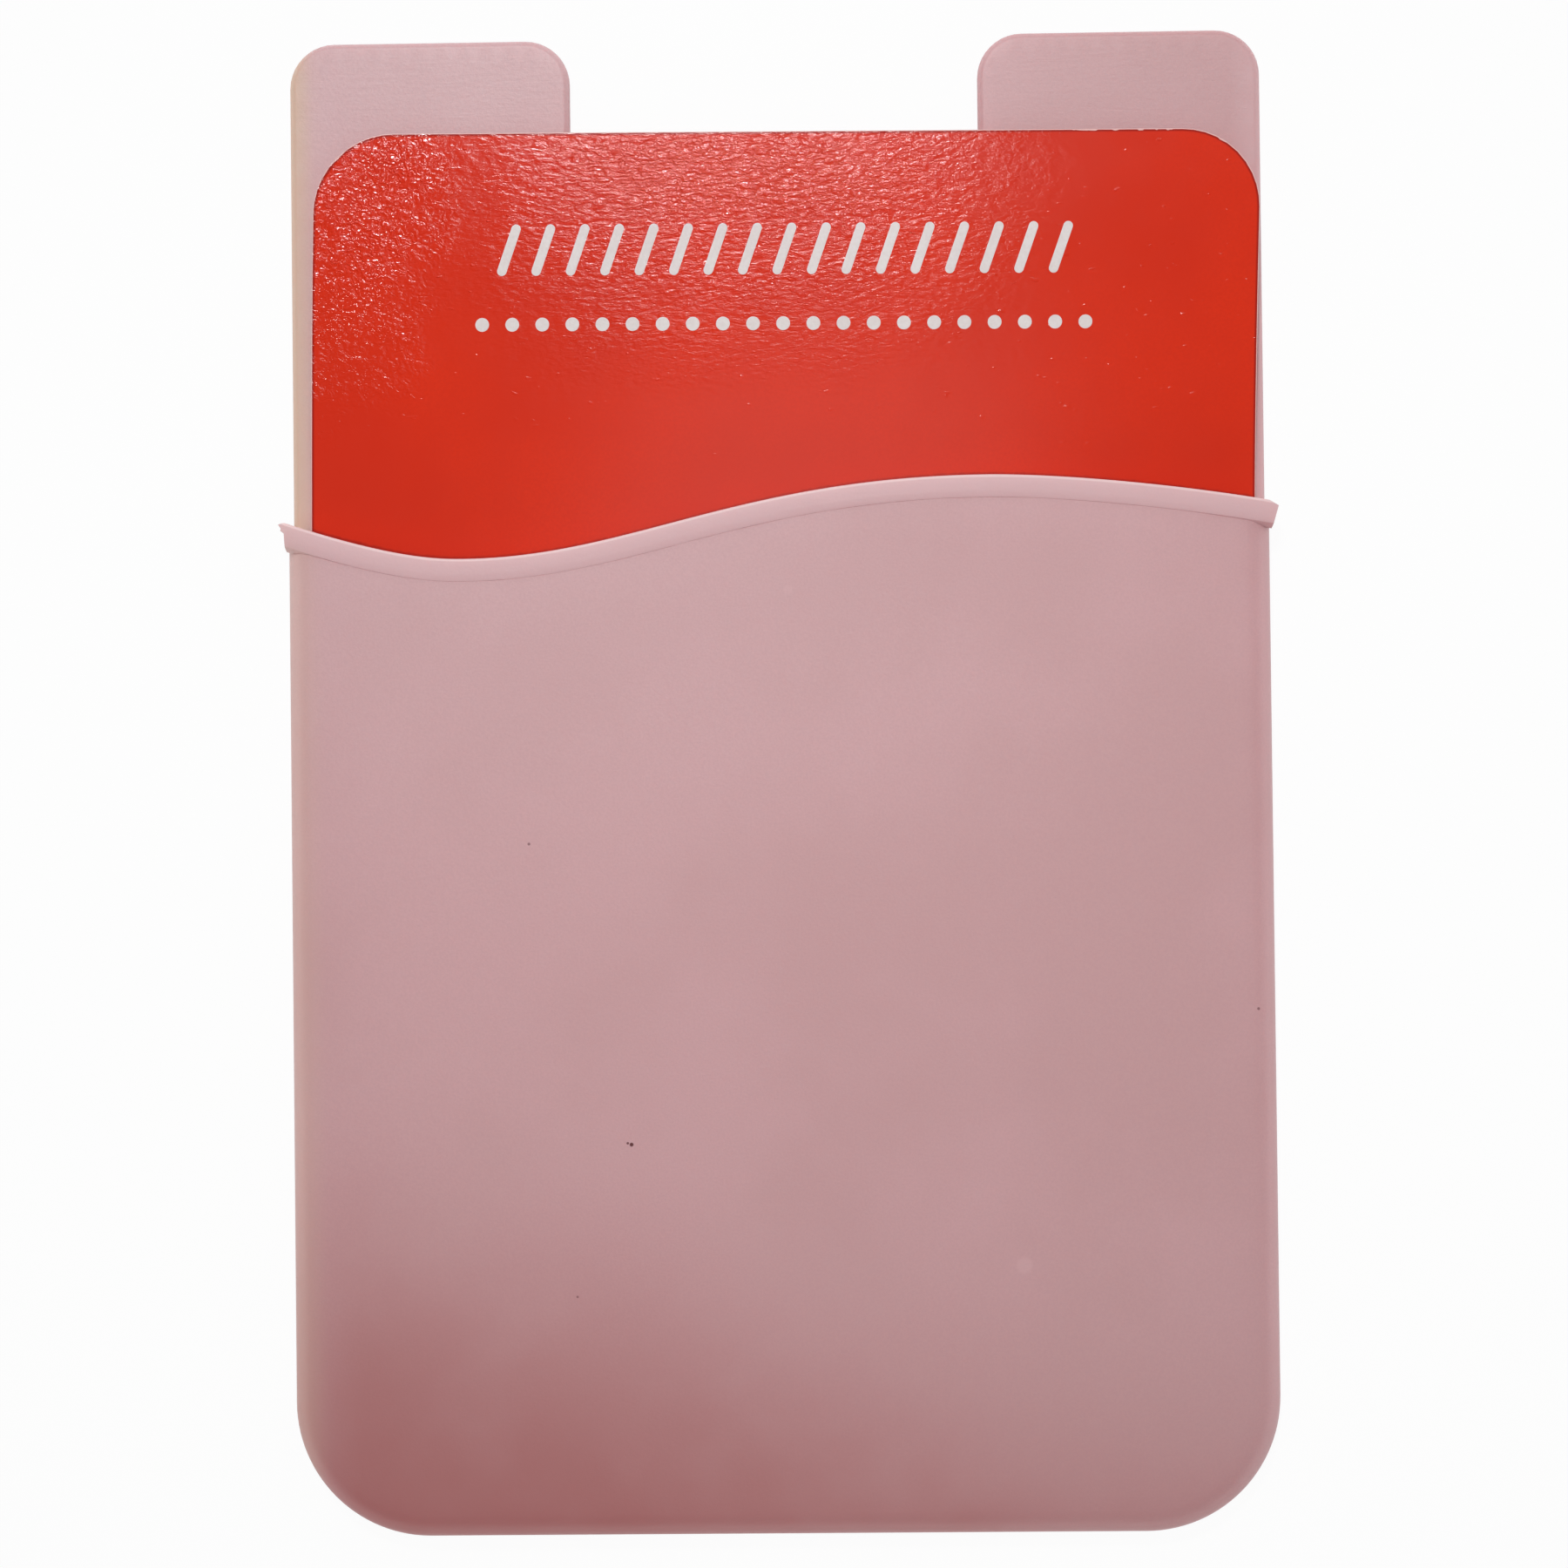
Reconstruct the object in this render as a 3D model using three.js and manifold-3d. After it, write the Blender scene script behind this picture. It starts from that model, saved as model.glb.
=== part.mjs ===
// A stick-on card holder for the back of a phone: one silicone moulding with ears, a thumb notch and a
// wavy-mouthed pocket, a printed card standing in the pocket, and an adhesive sheet under its liner.
// Millimetres. X runs across the holder, Y from its foot to its ears, Z out of its front.
// The origin is the middle of the face that the holder lies on.
import * as THREE from "three";
import { mergeVertices } from "three/addons/utils/BufferGeometryUtils.js";
import Module from "manifold-3d";

// The moulding seen from the front.
const HOLDER_LENGTH = 87;
const POCKET_WIDTH = 57;
const PLATE_SETBACK = 0.2;
const FOOT_RADIUS = 7.8;
const EAR_WIDTH = 16.4;
const EAR_RADIUS = 2.6;
const NOTCH_DEPTH = 8.6;
const NOTCH_RADIUS = 2.5;

// The moulding's section, from its back to its front.
const PLATE_THICKNESS = 0.9;
const PLATE_ROUND = 0.4;
const POCKET_GAP = 0.75;
const POCKET_ROUND = 0.3;
const FRONT_THICKNESS = 0.85;
const FRONT_ROUND = 1.4;
const WALL_THICKNESS = 0.7;

// The mouth's wave: heights above the foot, places across from the middle, and slopes at the sides.
const MOUTH_LEFT_HEIGHT = 58.8;
const MOUTH_LEFT_SLOPE = -0.34;
const TROUGH_HEIGHT = 56.6;
const TROUGH_X = -18.2;
const CREST_HEIGHT = 61.1;
const CREST_X = 12.2;
const MOUTH_RIGHT_HEIGHT = 59.4;
const MOUTH_RIGHT_SLOPE = -0.18;

// How far each bend of the wave reaches towards the next, as shares of the distance between them.
const LEFT_REACH = 0.6;
const TROUGH_LEFT_REACH = 0.15;
const TROUGH_RIGHT_REACH = 0.32;
const CREST_LEFT_REACH = 0.48;
const CREST_RIGHT_REACH = 0.2;
const RIGHT_REACH = 0.4;

// The bead along the mouth.
const LIP_WIDTH = 1.25;
const LIP_RISE = 0.3;
const LIP_ROUND = 0.4;
const LIP_OVERHANG = 0.4;

// The card, its play in the pocket, and how far its free end springs forward off the plate.
const CARD_LENGTH = 79;
const CARD_THICKNESS = 0.35;
const CARD_RADIUS = 4.6;
const CARD_CLEARANCE = 0.5;
const CARD_RISE = 1.2;
const CARD_FREE_LENGTH = 26;

// The adhesive sheet and the liner that covers it.
const ADHESIVE_THICKNESS = 0.25;
const ADHESIVE_MARGIN = 2.5;
const LINER_THICKNESS = 0.15;
const LINER_BORDER = 0.6;

// How finely curves are divided.
const ARC_SEGMENTS = 6;
const ROUND_SEGMENTS = 4;
const LIP_SEGMENTS = 3;
const MOUTH_SEGMENTS = 60;

const foot = -HOLDER_LENGTH / 2;
const earTop = HOLDER_LENGTH / 2;
const pocketSide = POCKET_WIDTH / 2;
const plateSide = pocketSide - PLATE_SETBACK;
const notchSide = plateSide - EAR_WIDTH;
const notchFloor = earTop - NOTCH_DEPTH;
const pocketCeiling = PLATE_THICKNESS + POCKET_GAP;
const frontFace = pocketCeiling + FRONT_THICKNESS;
const pocketInnerSide = pocketSide - WALL_THICKNESS;
const pocketFloor = foot + WALL_THICKNESS;
const pocketCornerRadius = FOOT_RADIUS - WALL_THICKNESS;

const manifold = await Module();
manifold.setup();

// A closed geometry as a solid that can be joined and cut.
function solidOf(geometry) {
  const positions = geometry.clone();
  positions.deleteAttribute("normal");
  positions.deleteAttribute("uv");
  const merged = mergeVertices(positions, 1e-4);
  return new manifold.Manifold(
    new manifold.Mesh({
      numProp: 3,
      vertProperties: merged.attributes.position.array,
      triVerts: new Uint32Array(merged.index.array),
    }),
  );
}

// A solid's surface as a flat-shaded geometry.
function geometryOf(solid) {
  const mesh = solid.getMesh();
  const geometry = new THREE.BufferGeometry();
  geometry.setAttribute("position", new THREE.BufferAttribute(mesh.vertProperties, 3));
  geometry.setIndex(new THREE.BufferAttribute(mesh.triVerts, 1));
  const flat = geometry.toNonIndexed();
  flat.computeVertexNormals();
  return flat;
}

// A closed outline through corners [x, y, radius], listed anticlockwise, each rounded by a tangent arc.
function roundedOutline(corners) {
  const shape = new THREE.Shape();
  corners.forEach(([x, y, radius], i) => {
    const corner = new THREE.Vector2(x, y);
    const back = new THREE.Vector2(...corners.at(i - 1)).sub(corner).normalize();
    const on = new THREE.Vector2(...corners[(i + 1) % corners.length]).sub(corner).normalize();
    const halfAngle = Math.acos(back.dot(on)) / 2;
    const tangentLength = radius / Math.tan(halfAngle);
    const start = corner.clone().addScaledVector(back, tangentLength);
    const end = corner.clone().addScaledVector(on, tangentLength);
    const toCentre = back.clone().add(on).normalize();
    const centre = corner.clone().addScaledVector(toCentre, radius / Math.sin(halfAngle));
    const from = start.clone().sub(centre).angle();
    const to = end.clone().sub(centre).angle();
    const turnsRight = back.cross(on) > 0;
    if (i === 0) shape.moveTo(start.x, start.y);
    else shape.lineTo(start.x, start.y);
    shape.absarc(centre.x, centre.y, radius, from, to, turnsRight);
  });
  shape.closePath();
  return shape;
}

// A rectangle from one corner to the other, with its lower and upper corners rounded.
function roundedRectangle(left, bottom, right, top, lowerRadius, upperRadius) {
  return roundedOutline([
    [left, bottom, lowerRadius],
    [right, bottom, lowerRadius],
    [right, top, upperRadius],
    [left, top, upperRadius],
  ]);
}

// An outline raised from z = low to z = high, with both of its end faces' edges rounded.
function prism(outline, low, high, round = 0) {
  const geometry = new THREE.ExtrudeGeometry(outline, {
    depth: high - low - 2 * round,
    curveSegments: ARC_SEGMENTS,
    bevelEnabled: round > 0,
    bevelThickness: round,
    bevelSize: round,
    bevelOffset: -round,
    bevelSegments: ROUND_SEGMENTS,
  });
  return geometry.translate(0, 0, low + round);
}

// A prism whose lower and upper edges are rounded differently.
function mouldedPrism(outline, low, high, lowRound, highRound) {
  const lower = solidOf(prism(outline, low, high + lowRound + highRound, lowRound));
  const upper = solidOf(prism(outline, low - lowRound - highRound, high, highRound));
  return lower.intersect(upper);
}

// The mouth's edge from left to right, carried straight on past both sides of the pocket.
function mouthCurve() {
  const left = new THREE.Vector3(-pocketSide, foot + MOUTH_LEFT_HEIGHT, 0);
  const trough = new THREE.Vector3(TROUGH_X, foot + TROUGH_HEIGHT, 0);
  const crest = new THREE.Vector3(CREST_X, foot + CREST_HEIGHT, 0);
  const right = new THREE.Vector3(pocketSide, foot + MOUTH_RIGHT_HEIGHT, 0);
  const handle = (point, run, slope) => new THREE.Vector3(point.x + run, point.y + slope * run, 0);
  const leftRun = trough.x - left.x;
  const middleRun = crest.x - trough.x;
  const rightRun = right.x - crest.x;
  const past = LIP_OVERHANG + LIP_WIDTH;

  const curve = new THREE.CurvePath();
  curve.add(new THREE.LineCurve3(handle(left, -past, MOUTH_LEFT_SLOPE), left));
  curve.add(
    new THREE.CubicBezierCurve3(
      left,
      handle(left, LEFT_REACH * leftRun, MOUTH_LEFT_SLOPE),
      handle(trough, -TROUGH_LEFT_REACH * leftRun, 0),
      trough,
    ),
  );
  curve.add(
    new THREE.CubicBezierCurve3(
      trough,
      handle(trough, TROUGH_RIGHT_REACH * middleRun, 0),
      handle(crest, -CREST_LEFT_REACH * middleRun, 0),
      crest,
    ),
  );
  curve.add(
    new THREE.CubicBezierCurve3(
      crest,
      handle(crest, CREST_RIGHT_REACH * rightRun, 0),
      handle(right, -RIGHT_REACH * rightRun, MOUTH_RIGHT_SLOPE),
      right,
    ),
  );
  curve.add(new THREE.LineCurve3(right, handle(right, past, MOUTH_RIGHT_SLOPE)));
  return curve;
}

// Everything on the ears' side of the mouth, moved towards the foot by inset, from z = low to z = high.
function beyondMouth(inset, low, high) {
  const edge = mouthCurve().getSpacedPoints(MOUTH_SEGMENTS);
  const beyondEars = earTop + HOLDER_LENGTH;
  const outline = new THREE.Shape();
  outline.moveTo(edge[0].x, edge[0].y - inset);
  for (const point of edge.slice(1)) outline.lineTo(point.x, point.y - inset);
  outline.lineTo(edge.at(-1).x, beyondEars);
  outline.lineTo(edge[0].x, beyondEars);
  outline.closePath();
  return solidOf(prism(outline, low, high));
}

// The back plate with its two ears and the notch between them.
function plate() {
  const outline = roundedOutline([
    [-plateSide, foot, FOOT_RADIUS],
    [plateSide, foot, FOOT_RADIUS],
    [plateSide, earTop, EAR_RADIUS],
    [notchSide, earTop, EAR_RADIUS],
    [notchSide, notchFloor, NOTCH_RADIUS],
    [-notchSide, notchFloor, NOTCH_RADIUS],
    [-notchSide, earTop, EAR_RADIUS],
    [-plateSide, earTop, EAR_RADIUS],
  ]);
  return solidOf(prism(outline, 0, PLATE_THICKNESS, PLATE_ROUND));
}

// The pocket's walls and front panel, open at the mouth and towards the plate. The panel stops under the
// middle of the bead.
function pocket() {
  const outer = roundedRectangle(-pocketSide, foot, pocketSide, earTop, FOOT_RADIUS, EAR_RADIUS);
  const inner = roundedRectangle(
    -pocketInnerSide,
    pocketFloor,
    pocketInnerSide,
    earTop + WALL_THICKNESS,
    pocketCornerRadius,
    EAR_RADIUS,
  );
  const block = mouldedPrism(outer, 0, frontFace, PLATE_ROUND, FRONT_ROUND);
  const cavity = mouldedPrism(inner, -PLATE_THICKNESS, pocketCeiling, 0, POCKET_ROUND);
  const overFront = frontFace + FRONT_ROUND;
  const pastMouth = beyondMouth(0, -PLATE_THICKNESS, overFront);
  const underBead = beyondMouth(LIP_WIDTH / 2, pocketCeiling, overFront);
  return block.subtract(cavity).subtract(pastMouth).subtract(underBead);
}

// The bead: a round-nosed section swept along the mouth, its ends cut off straight past the pocket's sides.
function lip() {
  const thickness = FRONT_THICKNESS + LIP_RISE;
  const section = roundedRectangle(-thickness, -LIP_WIDTH, 0, 0, LIP_ROUND, LIP_ROUND);
  const sweep = new THREE.ExtrudeGeometry(section, {
    steps: MOUTH_SEGMENTS,
    curveSegments: LIP_SEGMENTS,
    extrudePath: mouthCurve(),
  });
  sweep.translate(0, 0, pocketCeiling);
  const end = pocketSide + LIP_OVERHANG;
  const ends = roundedRectangle(-end, foot, end, earTop, EAR_RADIUS, EAR_RADIUS);
  return solidOf(sweep).intersect(solidOf(prism(ends, 0, frontFace + thickness)));
}

// How high the card's lower edge stands: its round corners rest in the pocket's rounder ones.
function cardFoot() {
  const cornerClearance = CARD_CLEARANCE / 2;
  const play = pocketCornerRadius - CARD_RADIUS;
  if (play <= CARD_CLEARANCE) return pocketFloor + cornerClearance;
  const drop = Math.sqrt((play - cornerClearance) ** 2 - (play - CARD_CLEARANCE) ** 2);
  return pocketFloor + Math.max(cornerClearance, play - drop);
}

function material(color, roughness) {
  return new THREE.MeshStandardMaterial({ color, roughness, metalness: 0 });
}

function named(name, geometry, finish) {
  const mesh = new THREE.Mesh(geometry, finish);
  mesh.name = name;
  return mesh;
}

// The moulding, standing on its plate's back face.
function siliconeHolder() {
  const solid = plate().add(pocket()).add(lip());
  return named("silicone_holder", geometryOf(solid), material(0xcda5a7, 0.75));
}

// The card's side view, flat to the start of its free end and from there eased forward in a soft S,
// drawn from low to high and spread across the card's width.
function bowedSheet(low, high, side) {
  const bowStart = high - CARD_FREE_LENGTH;
  const lowHandle = bowStart + CARD_FREE_LENGTH / 3;
  const highHandle = high - CARD_FREE_LENGTH / 3;
  const face = CARD_RISE + CARD_THICKNESS;
  const profile = new THREE.Shape();
  profile.moveTo(low, 0);
  profile.lineTo(bowStart, 0);
  profile.bezierCurveTo(lowHandle, 0, highHandle, CARD_RISE, high, CARD_RISE);
  profile.lineTo(high, face);
  profile.bezierCurveTo(highHandle, face, lowHandle, CARD_THICKNESS, bowStart, CARD_THICKNESS);
  profile.lineTo(low, CARD_THICKNESS);
  profile.closePath();
  const alongX = new THREE.Matrix4().makeBasis(
    new THREE.Vector3(0, 1, 0),
    new THREE.Vector3(0, 0, 1),
    new THREE.Vector3(1, 0, 0),
  );
  return prism(profile, -side, side).applyMatrix4(alongX);
}

// The card on the plate, leaning a little to the right within its play, about the middle of the pocket.
function insertCard() {
  const side = pocketInnerSide - CARD_CLEARANCE;
  const mouthHeight = (MOUTH_LEFT_HEIGHT + MOUTH_RIGHT_HEIGHT) / 2;
  const pocketDepth = mouthHeight - WALL_THICKNESS;
  const pivotY = pocketFloor + pocketDepth / 2;
  const low = cardFoot() - pivotY;
  const high = low + CARD_LENGTH;
  const outline = roundedRectangle(-side, low, side, high, CARD_RADIUS, CARD_RADIUS);
  const blank = prism(outline, 0, CARD_RISE + CARD_THICKNESS);
  const card = solidOf(bowedSheet(low, high, side)).intersect(solidOf(blank));
  const seat = new THREE.Group();
  seat.position.set(0, pivotY, PLATE_THICKNESS);
  seat.rotation.z = -Math.atan(CARD_CLEARANCE / pocketDepth);
  seat.add(named("insert_card", geometryOf(card), material(0xcb3426, 0.3)));
  return seat;
}

// A flat sheet on the plate's back, below the notch, reaching to a margin from the plate's edges.
function backSheet(name, margin, thickness, finish) {
  const side = plateSide - margin;
  const radius = FOOT_RADIUS - margin;
  const outline = roundedRectangle(-side, foot + margin, side, notchFloor - margin, radius, radius);
  return named(name, prism(outline, 0, thickness), finish);
}

const holder = new THREE.Group();
const releaseLiner = backSheet(
  "release_liner",
  ADHESIVE_MARGIN - LINER_BORDER,
  LINER_THICKNESS,
  material(0xf1ece0, 0.6),
);
const adhesiveSheet = backSheet(
  "adhesive_sheet",
  ADHESIVE_MARGIN,
  ADHESIVE_THICKNESS,
  material(0xe4e2dc, 0.5),
);
adhesiveSheet.position.z = LINER_THICKNESS;

const moulding = new THREE.Group();
moulding.position.z = LINER_THICKNESS + ADHESIVE_THICKNESS;
moulding.add(siliconeHolder(), insertCard());
holder.add(releaseLiner, adhesiveSheet, moulding);

export default holder;
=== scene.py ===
"""A stick-on card holder for the back of a phone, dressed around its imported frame.

A silicone moulding with ears, a thumb notch and a wavy-mouthed pocket, a glossy printed card in the
pocket, and the adhesive sheet and liner on its back. Sizes are millimetres, and meshes are metres.
X runs across the holder, Y from its foot to its ears, Z out of its front.
"""

from __future__ import annotations

import logging
import math
from collections.abc import Callable
from dataclasses import dataclass, field
from enum import Enum

import bpy
import numpy as np
from mathutils import Euler, Matrix, Vector
from mathutils.geometry import delaunay_2d_cdt

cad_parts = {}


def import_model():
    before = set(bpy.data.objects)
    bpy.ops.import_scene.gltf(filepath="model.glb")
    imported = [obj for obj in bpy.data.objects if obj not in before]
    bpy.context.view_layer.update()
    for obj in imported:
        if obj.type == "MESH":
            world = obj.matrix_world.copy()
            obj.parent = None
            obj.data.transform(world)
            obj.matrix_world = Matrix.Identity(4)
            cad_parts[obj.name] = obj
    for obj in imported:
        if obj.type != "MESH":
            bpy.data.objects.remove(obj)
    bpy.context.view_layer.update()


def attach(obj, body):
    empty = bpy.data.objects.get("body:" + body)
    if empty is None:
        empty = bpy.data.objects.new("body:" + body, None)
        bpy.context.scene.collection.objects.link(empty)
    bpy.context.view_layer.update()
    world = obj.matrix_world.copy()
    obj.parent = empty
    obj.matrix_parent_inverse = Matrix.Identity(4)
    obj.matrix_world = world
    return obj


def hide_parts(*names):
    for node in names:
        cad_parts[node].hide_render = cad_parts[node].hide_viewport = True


MM = 0.001
BODY = "root"
LINE_POINTS = 41
INNER_TRIANGLES = 1
SAME_POINT = 1e-7

Point = tuple[float, float]
Corner = tuple[float, float, float]
Colour = tuple[float, float, float]

log = logging.getLogger("card_holder")


def rgba(colour: Colour) -> tuple[float, float, float, float]:
    """The colour with full alpha."""
    return (*colour, 1.0)


def from_screen(red: int, green: int, blue: int) -> Colour:
    """A colour as a screen shows it, from 0 to 255, turned into the linear colour that a shader takes.

    Args:
        red: The red level.
        green: The green level.
        blue: The blue level.

    Returns:
        The linear colour, from 0 to 1.
    """

    def linear(level: int) -> float:
        share = level / 255
        return share / 12.92 if share <= 0.04045 else ((share + 0.055) / 1.055) ** 2.4

    return linear(red), linear(green), linear(blue)


class Value:
    """A number that varies over a surface: a node socket whose arithmetic adds Math nodes."""

    def __init__(self, tree: bpy.types.NodeTree, socket: bpy.types.NodeSocket) -> None:
        self.tree = tree
        self.socket = socket

    def math(self, operation: str, *others: Value | float, clamp: bool = False) -> Value:
        """Adds one Math node with this value as its first input.

        Args:
            operation: The Math node's operation.
            others: The node's further inputs.
            clamp: Whether the result is kept from 0 to 1.

        Returns:
            The node's result.
        """
        node = self.tree.nodes.new("ShaderNodeMath")
        node.operation = operation
        node.use_clamp = clamp
        self.tree.links.new(self.socket, node.inputs[0])
        for place, other in enumerate(others, start=1):
            connect(self.tree, node.inputs[place], other)
        return Value(self.tree, node.outputs[0])

    def __add__(self, other: Value | float) -> Value:
        return self.math("ADD", other)

    def __sub__(self, other: Value | float) -> Value:
        return self.math("SUBTRACT", other)

    def __rsub__(self, other: float) -> Value:
        return self.math("MULTIPLY_ADD", -1.0, other)

    def __mul__(self, other: Value | float) -> Value:
        return self.math("MULTIPLY", other)

    def __truediv__(self, other: Value | float) -> Value:
        return self.math("DIVIDE", other)

    def __abs__(self) -> Value:
        return self.math("ABSOLUTE")

    __radd__ = __add__
    __rmul__ = __mul__

    def clamped(self) -> Value:
        """This value kept from 0 to 1."""
        return self.math("ADD", 0.0, clamp=True)

    def least(self, other: Value | float) -> Value:
        """The smaller of this value and another."""
        return self.math("MINIMUM", other)

    def most(self, other: Value | float) -> Value:
        """The larger of this value and another."""
        return self.math("MAXIMUM", other)

    def rise(self, start: float, end: float) -> Value:
        """How far this value has come from start to end, smoothed, from 0 to 1.

        Args:
            start: The value at which the result is 0.
            end: The value at which the result is 1; it may be below start.

        Returns:
            The smoothed share.
        """
        share = (self - start) / (end - start)
        share = share.clamped()
        return share * share * (3.0 - 2.0 * share)


Setting = str | float | int | bool
Source = Value | bpy.types.NodeSocket | float | tuple | bpy.types.Object | bpy.types.Material


def connect(tree: bpy.types.NodeTree, target: bpy.types.NodeSocket, source: Source) -> None:
    """Links a socket or a Value to an input, or sets the input to a constant."""
    if isinstance(source, Value):
        tree.links.new(source.socket, target)
    elif isinstance(source, bpy.types.NodeSocket):
        tree.links.new(source, target)
    else:
        target.default_value = source


def add_node(
    tree: bpy.types.NodeTree,
    kind: str,
    settings: dict[str, Setting] | None = None,
    inputs: dict[str | int, Source] | None = None,
) -> bpy.types.Node:
    """Adds any node to a tree.

    Args:
        tree: The tree that gets the node.
        kind: The node's type name.
        settings: The node's own settings, set first.
        inputs: Values or links of its input sockets, by name or place.

    Returns:
        The new node.
    """
    node = tree.nodes.new(kind)
    for name, setting in (settings or {}).items():
        setattr(node, name, setting)
    for key, source in (inputs or {}).items():
        connect(tree, node.inputs[key], source)
    return node


@dataclass(frozen=True)
class Noise:
    """A noise's look.

    Attributes:
        per_mm: How many bumps there are to a millimetre.
        detail: How many finer layers are added.
        roughness: How strong the finer layers are.
        stretch: How much faster the noise runs along X, Y and Z.
        distortion: How much the noise is warped.
    """

    per_mm: float
    detail: float = 2.0
    roughness: float = 0.5
    stretch: Corner = (1.0, 1.0, 1.0)
    distortion: float = 0.0


@dataclass(frozen=True)
class Band:
    """A soft step: the values at which it is 0 and at which it is full, and how strong it is."""

    start: float
    end: float
    strength: float = 1.0

    def of(self, value: Value) -> Value:
        """How much of the step shows where a value varies."""
        return value.rise(self.start, self.end) * self.strength


class Surface:
    """A material under construction: its nodes, its coordinates in millimetres and its shader."""

    def __init__(self, name: str) -> None:
        self.material = bpy.data.materials.new(name)
        self.material.use_nodes = True
        self.tree = self.material.node_tree
        self.tree.nodes.clear()
        coordinates = add_node(self.tree, "ShaderNodeTexCoord")
        scaled = add_node(
            self.tree,
            "ShaderNodeVectorMath",
            {"operation": "SCALE"},
            {0: coordinates.outputs["Object"], "Scale": 1 / MM},
        )
        self.place = scaled.outputs[0]
        split = add_node(self.tree, "ShaderNodeSeparateXYZ", inputs={0: self.place})
        self.x, self.y, self.z = (Value(self.tree, out) for out in split.outputs)

    def noise(self, look: Noise) -> Value:
        """Noise from about 0 to 1, with the look that is given."""
        turned = add_node(
            self.tree, "ShaderNodeMapping", inputs={"Vector": self.place, "Scale": look.stretch}
        )
        node = add_node(
            self.tree,
            "ShaderNodeTexNoise",
            inputs={
                "Vector": turned.outputs[0],
                "Scale": look.per_mm,
                "Detail": look.detail,
                "Roughness": look.roughness,
                "Distortion": look.distortion,
            },
        )
        return Value(self.tree, node.outputs["Fac"])

    def mix(self, share: Value | float, base: Source, over: Source) -> bpy.types.NodeSocket:
        """One colour laid over another.

        Args:
            share: How much of the upper colour shows.
            base: The lower colour, as a socket or an RGBA.
            over: The upper colour, as a socket or an RGBA.

        Returns:
            The mixed colour's socket.
        """
        node = add_node(self.tree, "ShaderNodeMix", {"data_type": "RGBA"})
        connect(self.tree, node.inputs[0], share)
        connect(self.tree, node.inputs[6], base)
        connect(self.tree, node.inputs[7], over)
        return node.outputs[2]

    def layered(
        self, base: Colour, layers: tuple[tuple[Value, Colour], ...]
    ) -> bpy.types.NodeSocket:
        """Colours laid over one another.

        Args:
            base: The lowest colour.
            layers: How much of each colour shows, and the colour, from below to above.

        Returns:
            The mixed colour's socket.
        """
        mixed: Source = rgba(base)
        for share, colour in layers:
            mixed = self.mix(share, mixed, rgba(colour))
        return mixed

    def attribute(self, name: str) -> Value:
        """A number stored on the mesh under that name."""
        node = add_node(self.tree, "ShaderNodeAttribute", {"attribute_name": name})
        return Value(self.tree, node.outputs["Fac"])

    def past_line(self, line: np.ndarray) -> Value:
        """How far a place lies past a line that runs along X, in millimetres of Y.

        Args:
            line: The line's points (x, y), from left to right.

        Returns:
            The distance, negative on the foot's side of the line.
        """
        low_x, low_y = (float(v) for v in line.min(axis=0))
        span_x, span_y = (float(v) for v in np.ptp(line, axis=0))
        node = add_node(
            self.tree,
            "ShaderNodeFloatCurve",
            inputs={"Factor": 1.0, "Value": (self.x - low_x) / span_x},
        )
        curve = node.mapping.curves[0]
        shares = np.linspace(0, 1, LINE_POINTS)
        heights = np.interp(shares, (line[:, 0] - low_x) / span_x, (line[:, 1] - low_y) / span_y)
        for place, height in zip(shares[1:-1], heights[1:-1]):
            curve.points.new(float(place), float(height))
        curve.points[0].location = (0.0, float(heights[0]))
        curve.points[-1].location = (1.0, float(heights[-1]))
        node.mapping.update()
        return self.y - (Value(self.tree, node.outputs[0]) * span_y + low_y)

    def bump(self, height_mm: Value) -> bpy.types.NodeSocket:
        """The normal bent by a height over the surface, in millimetres."""
        node = add_node(self.tree, "ShaderNodeBump", inputs={"Distance": MM, "Height": height_mm})
        return node.outputs[0]

    def finish(
        self, varying: dict[str, Source], constants: dict[str, Source]
    ) -> bpy.types.Material:
        """Closes the material with one principled shader.

        Args:
            varying: What changes over the surface, by socket name.
            constants: What is the same all over, by socket name.

        Returns:
            The finished material.
        """
        shader = add_node(self.tree, "ShaderNodeBsdfPrincipled", inputs={**constants, **varying})
        add_node(self.tree, "ShaderNodeOutputMaterial", inputs={"Surface": shader.outputs[0]})
        return self.material


@dataclass(frozen=True)
class Speck:
    """A dark or pale speck that lies in the silicone's face."""

    x: float
    y: float
    radius: float
    depth: float


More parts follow.
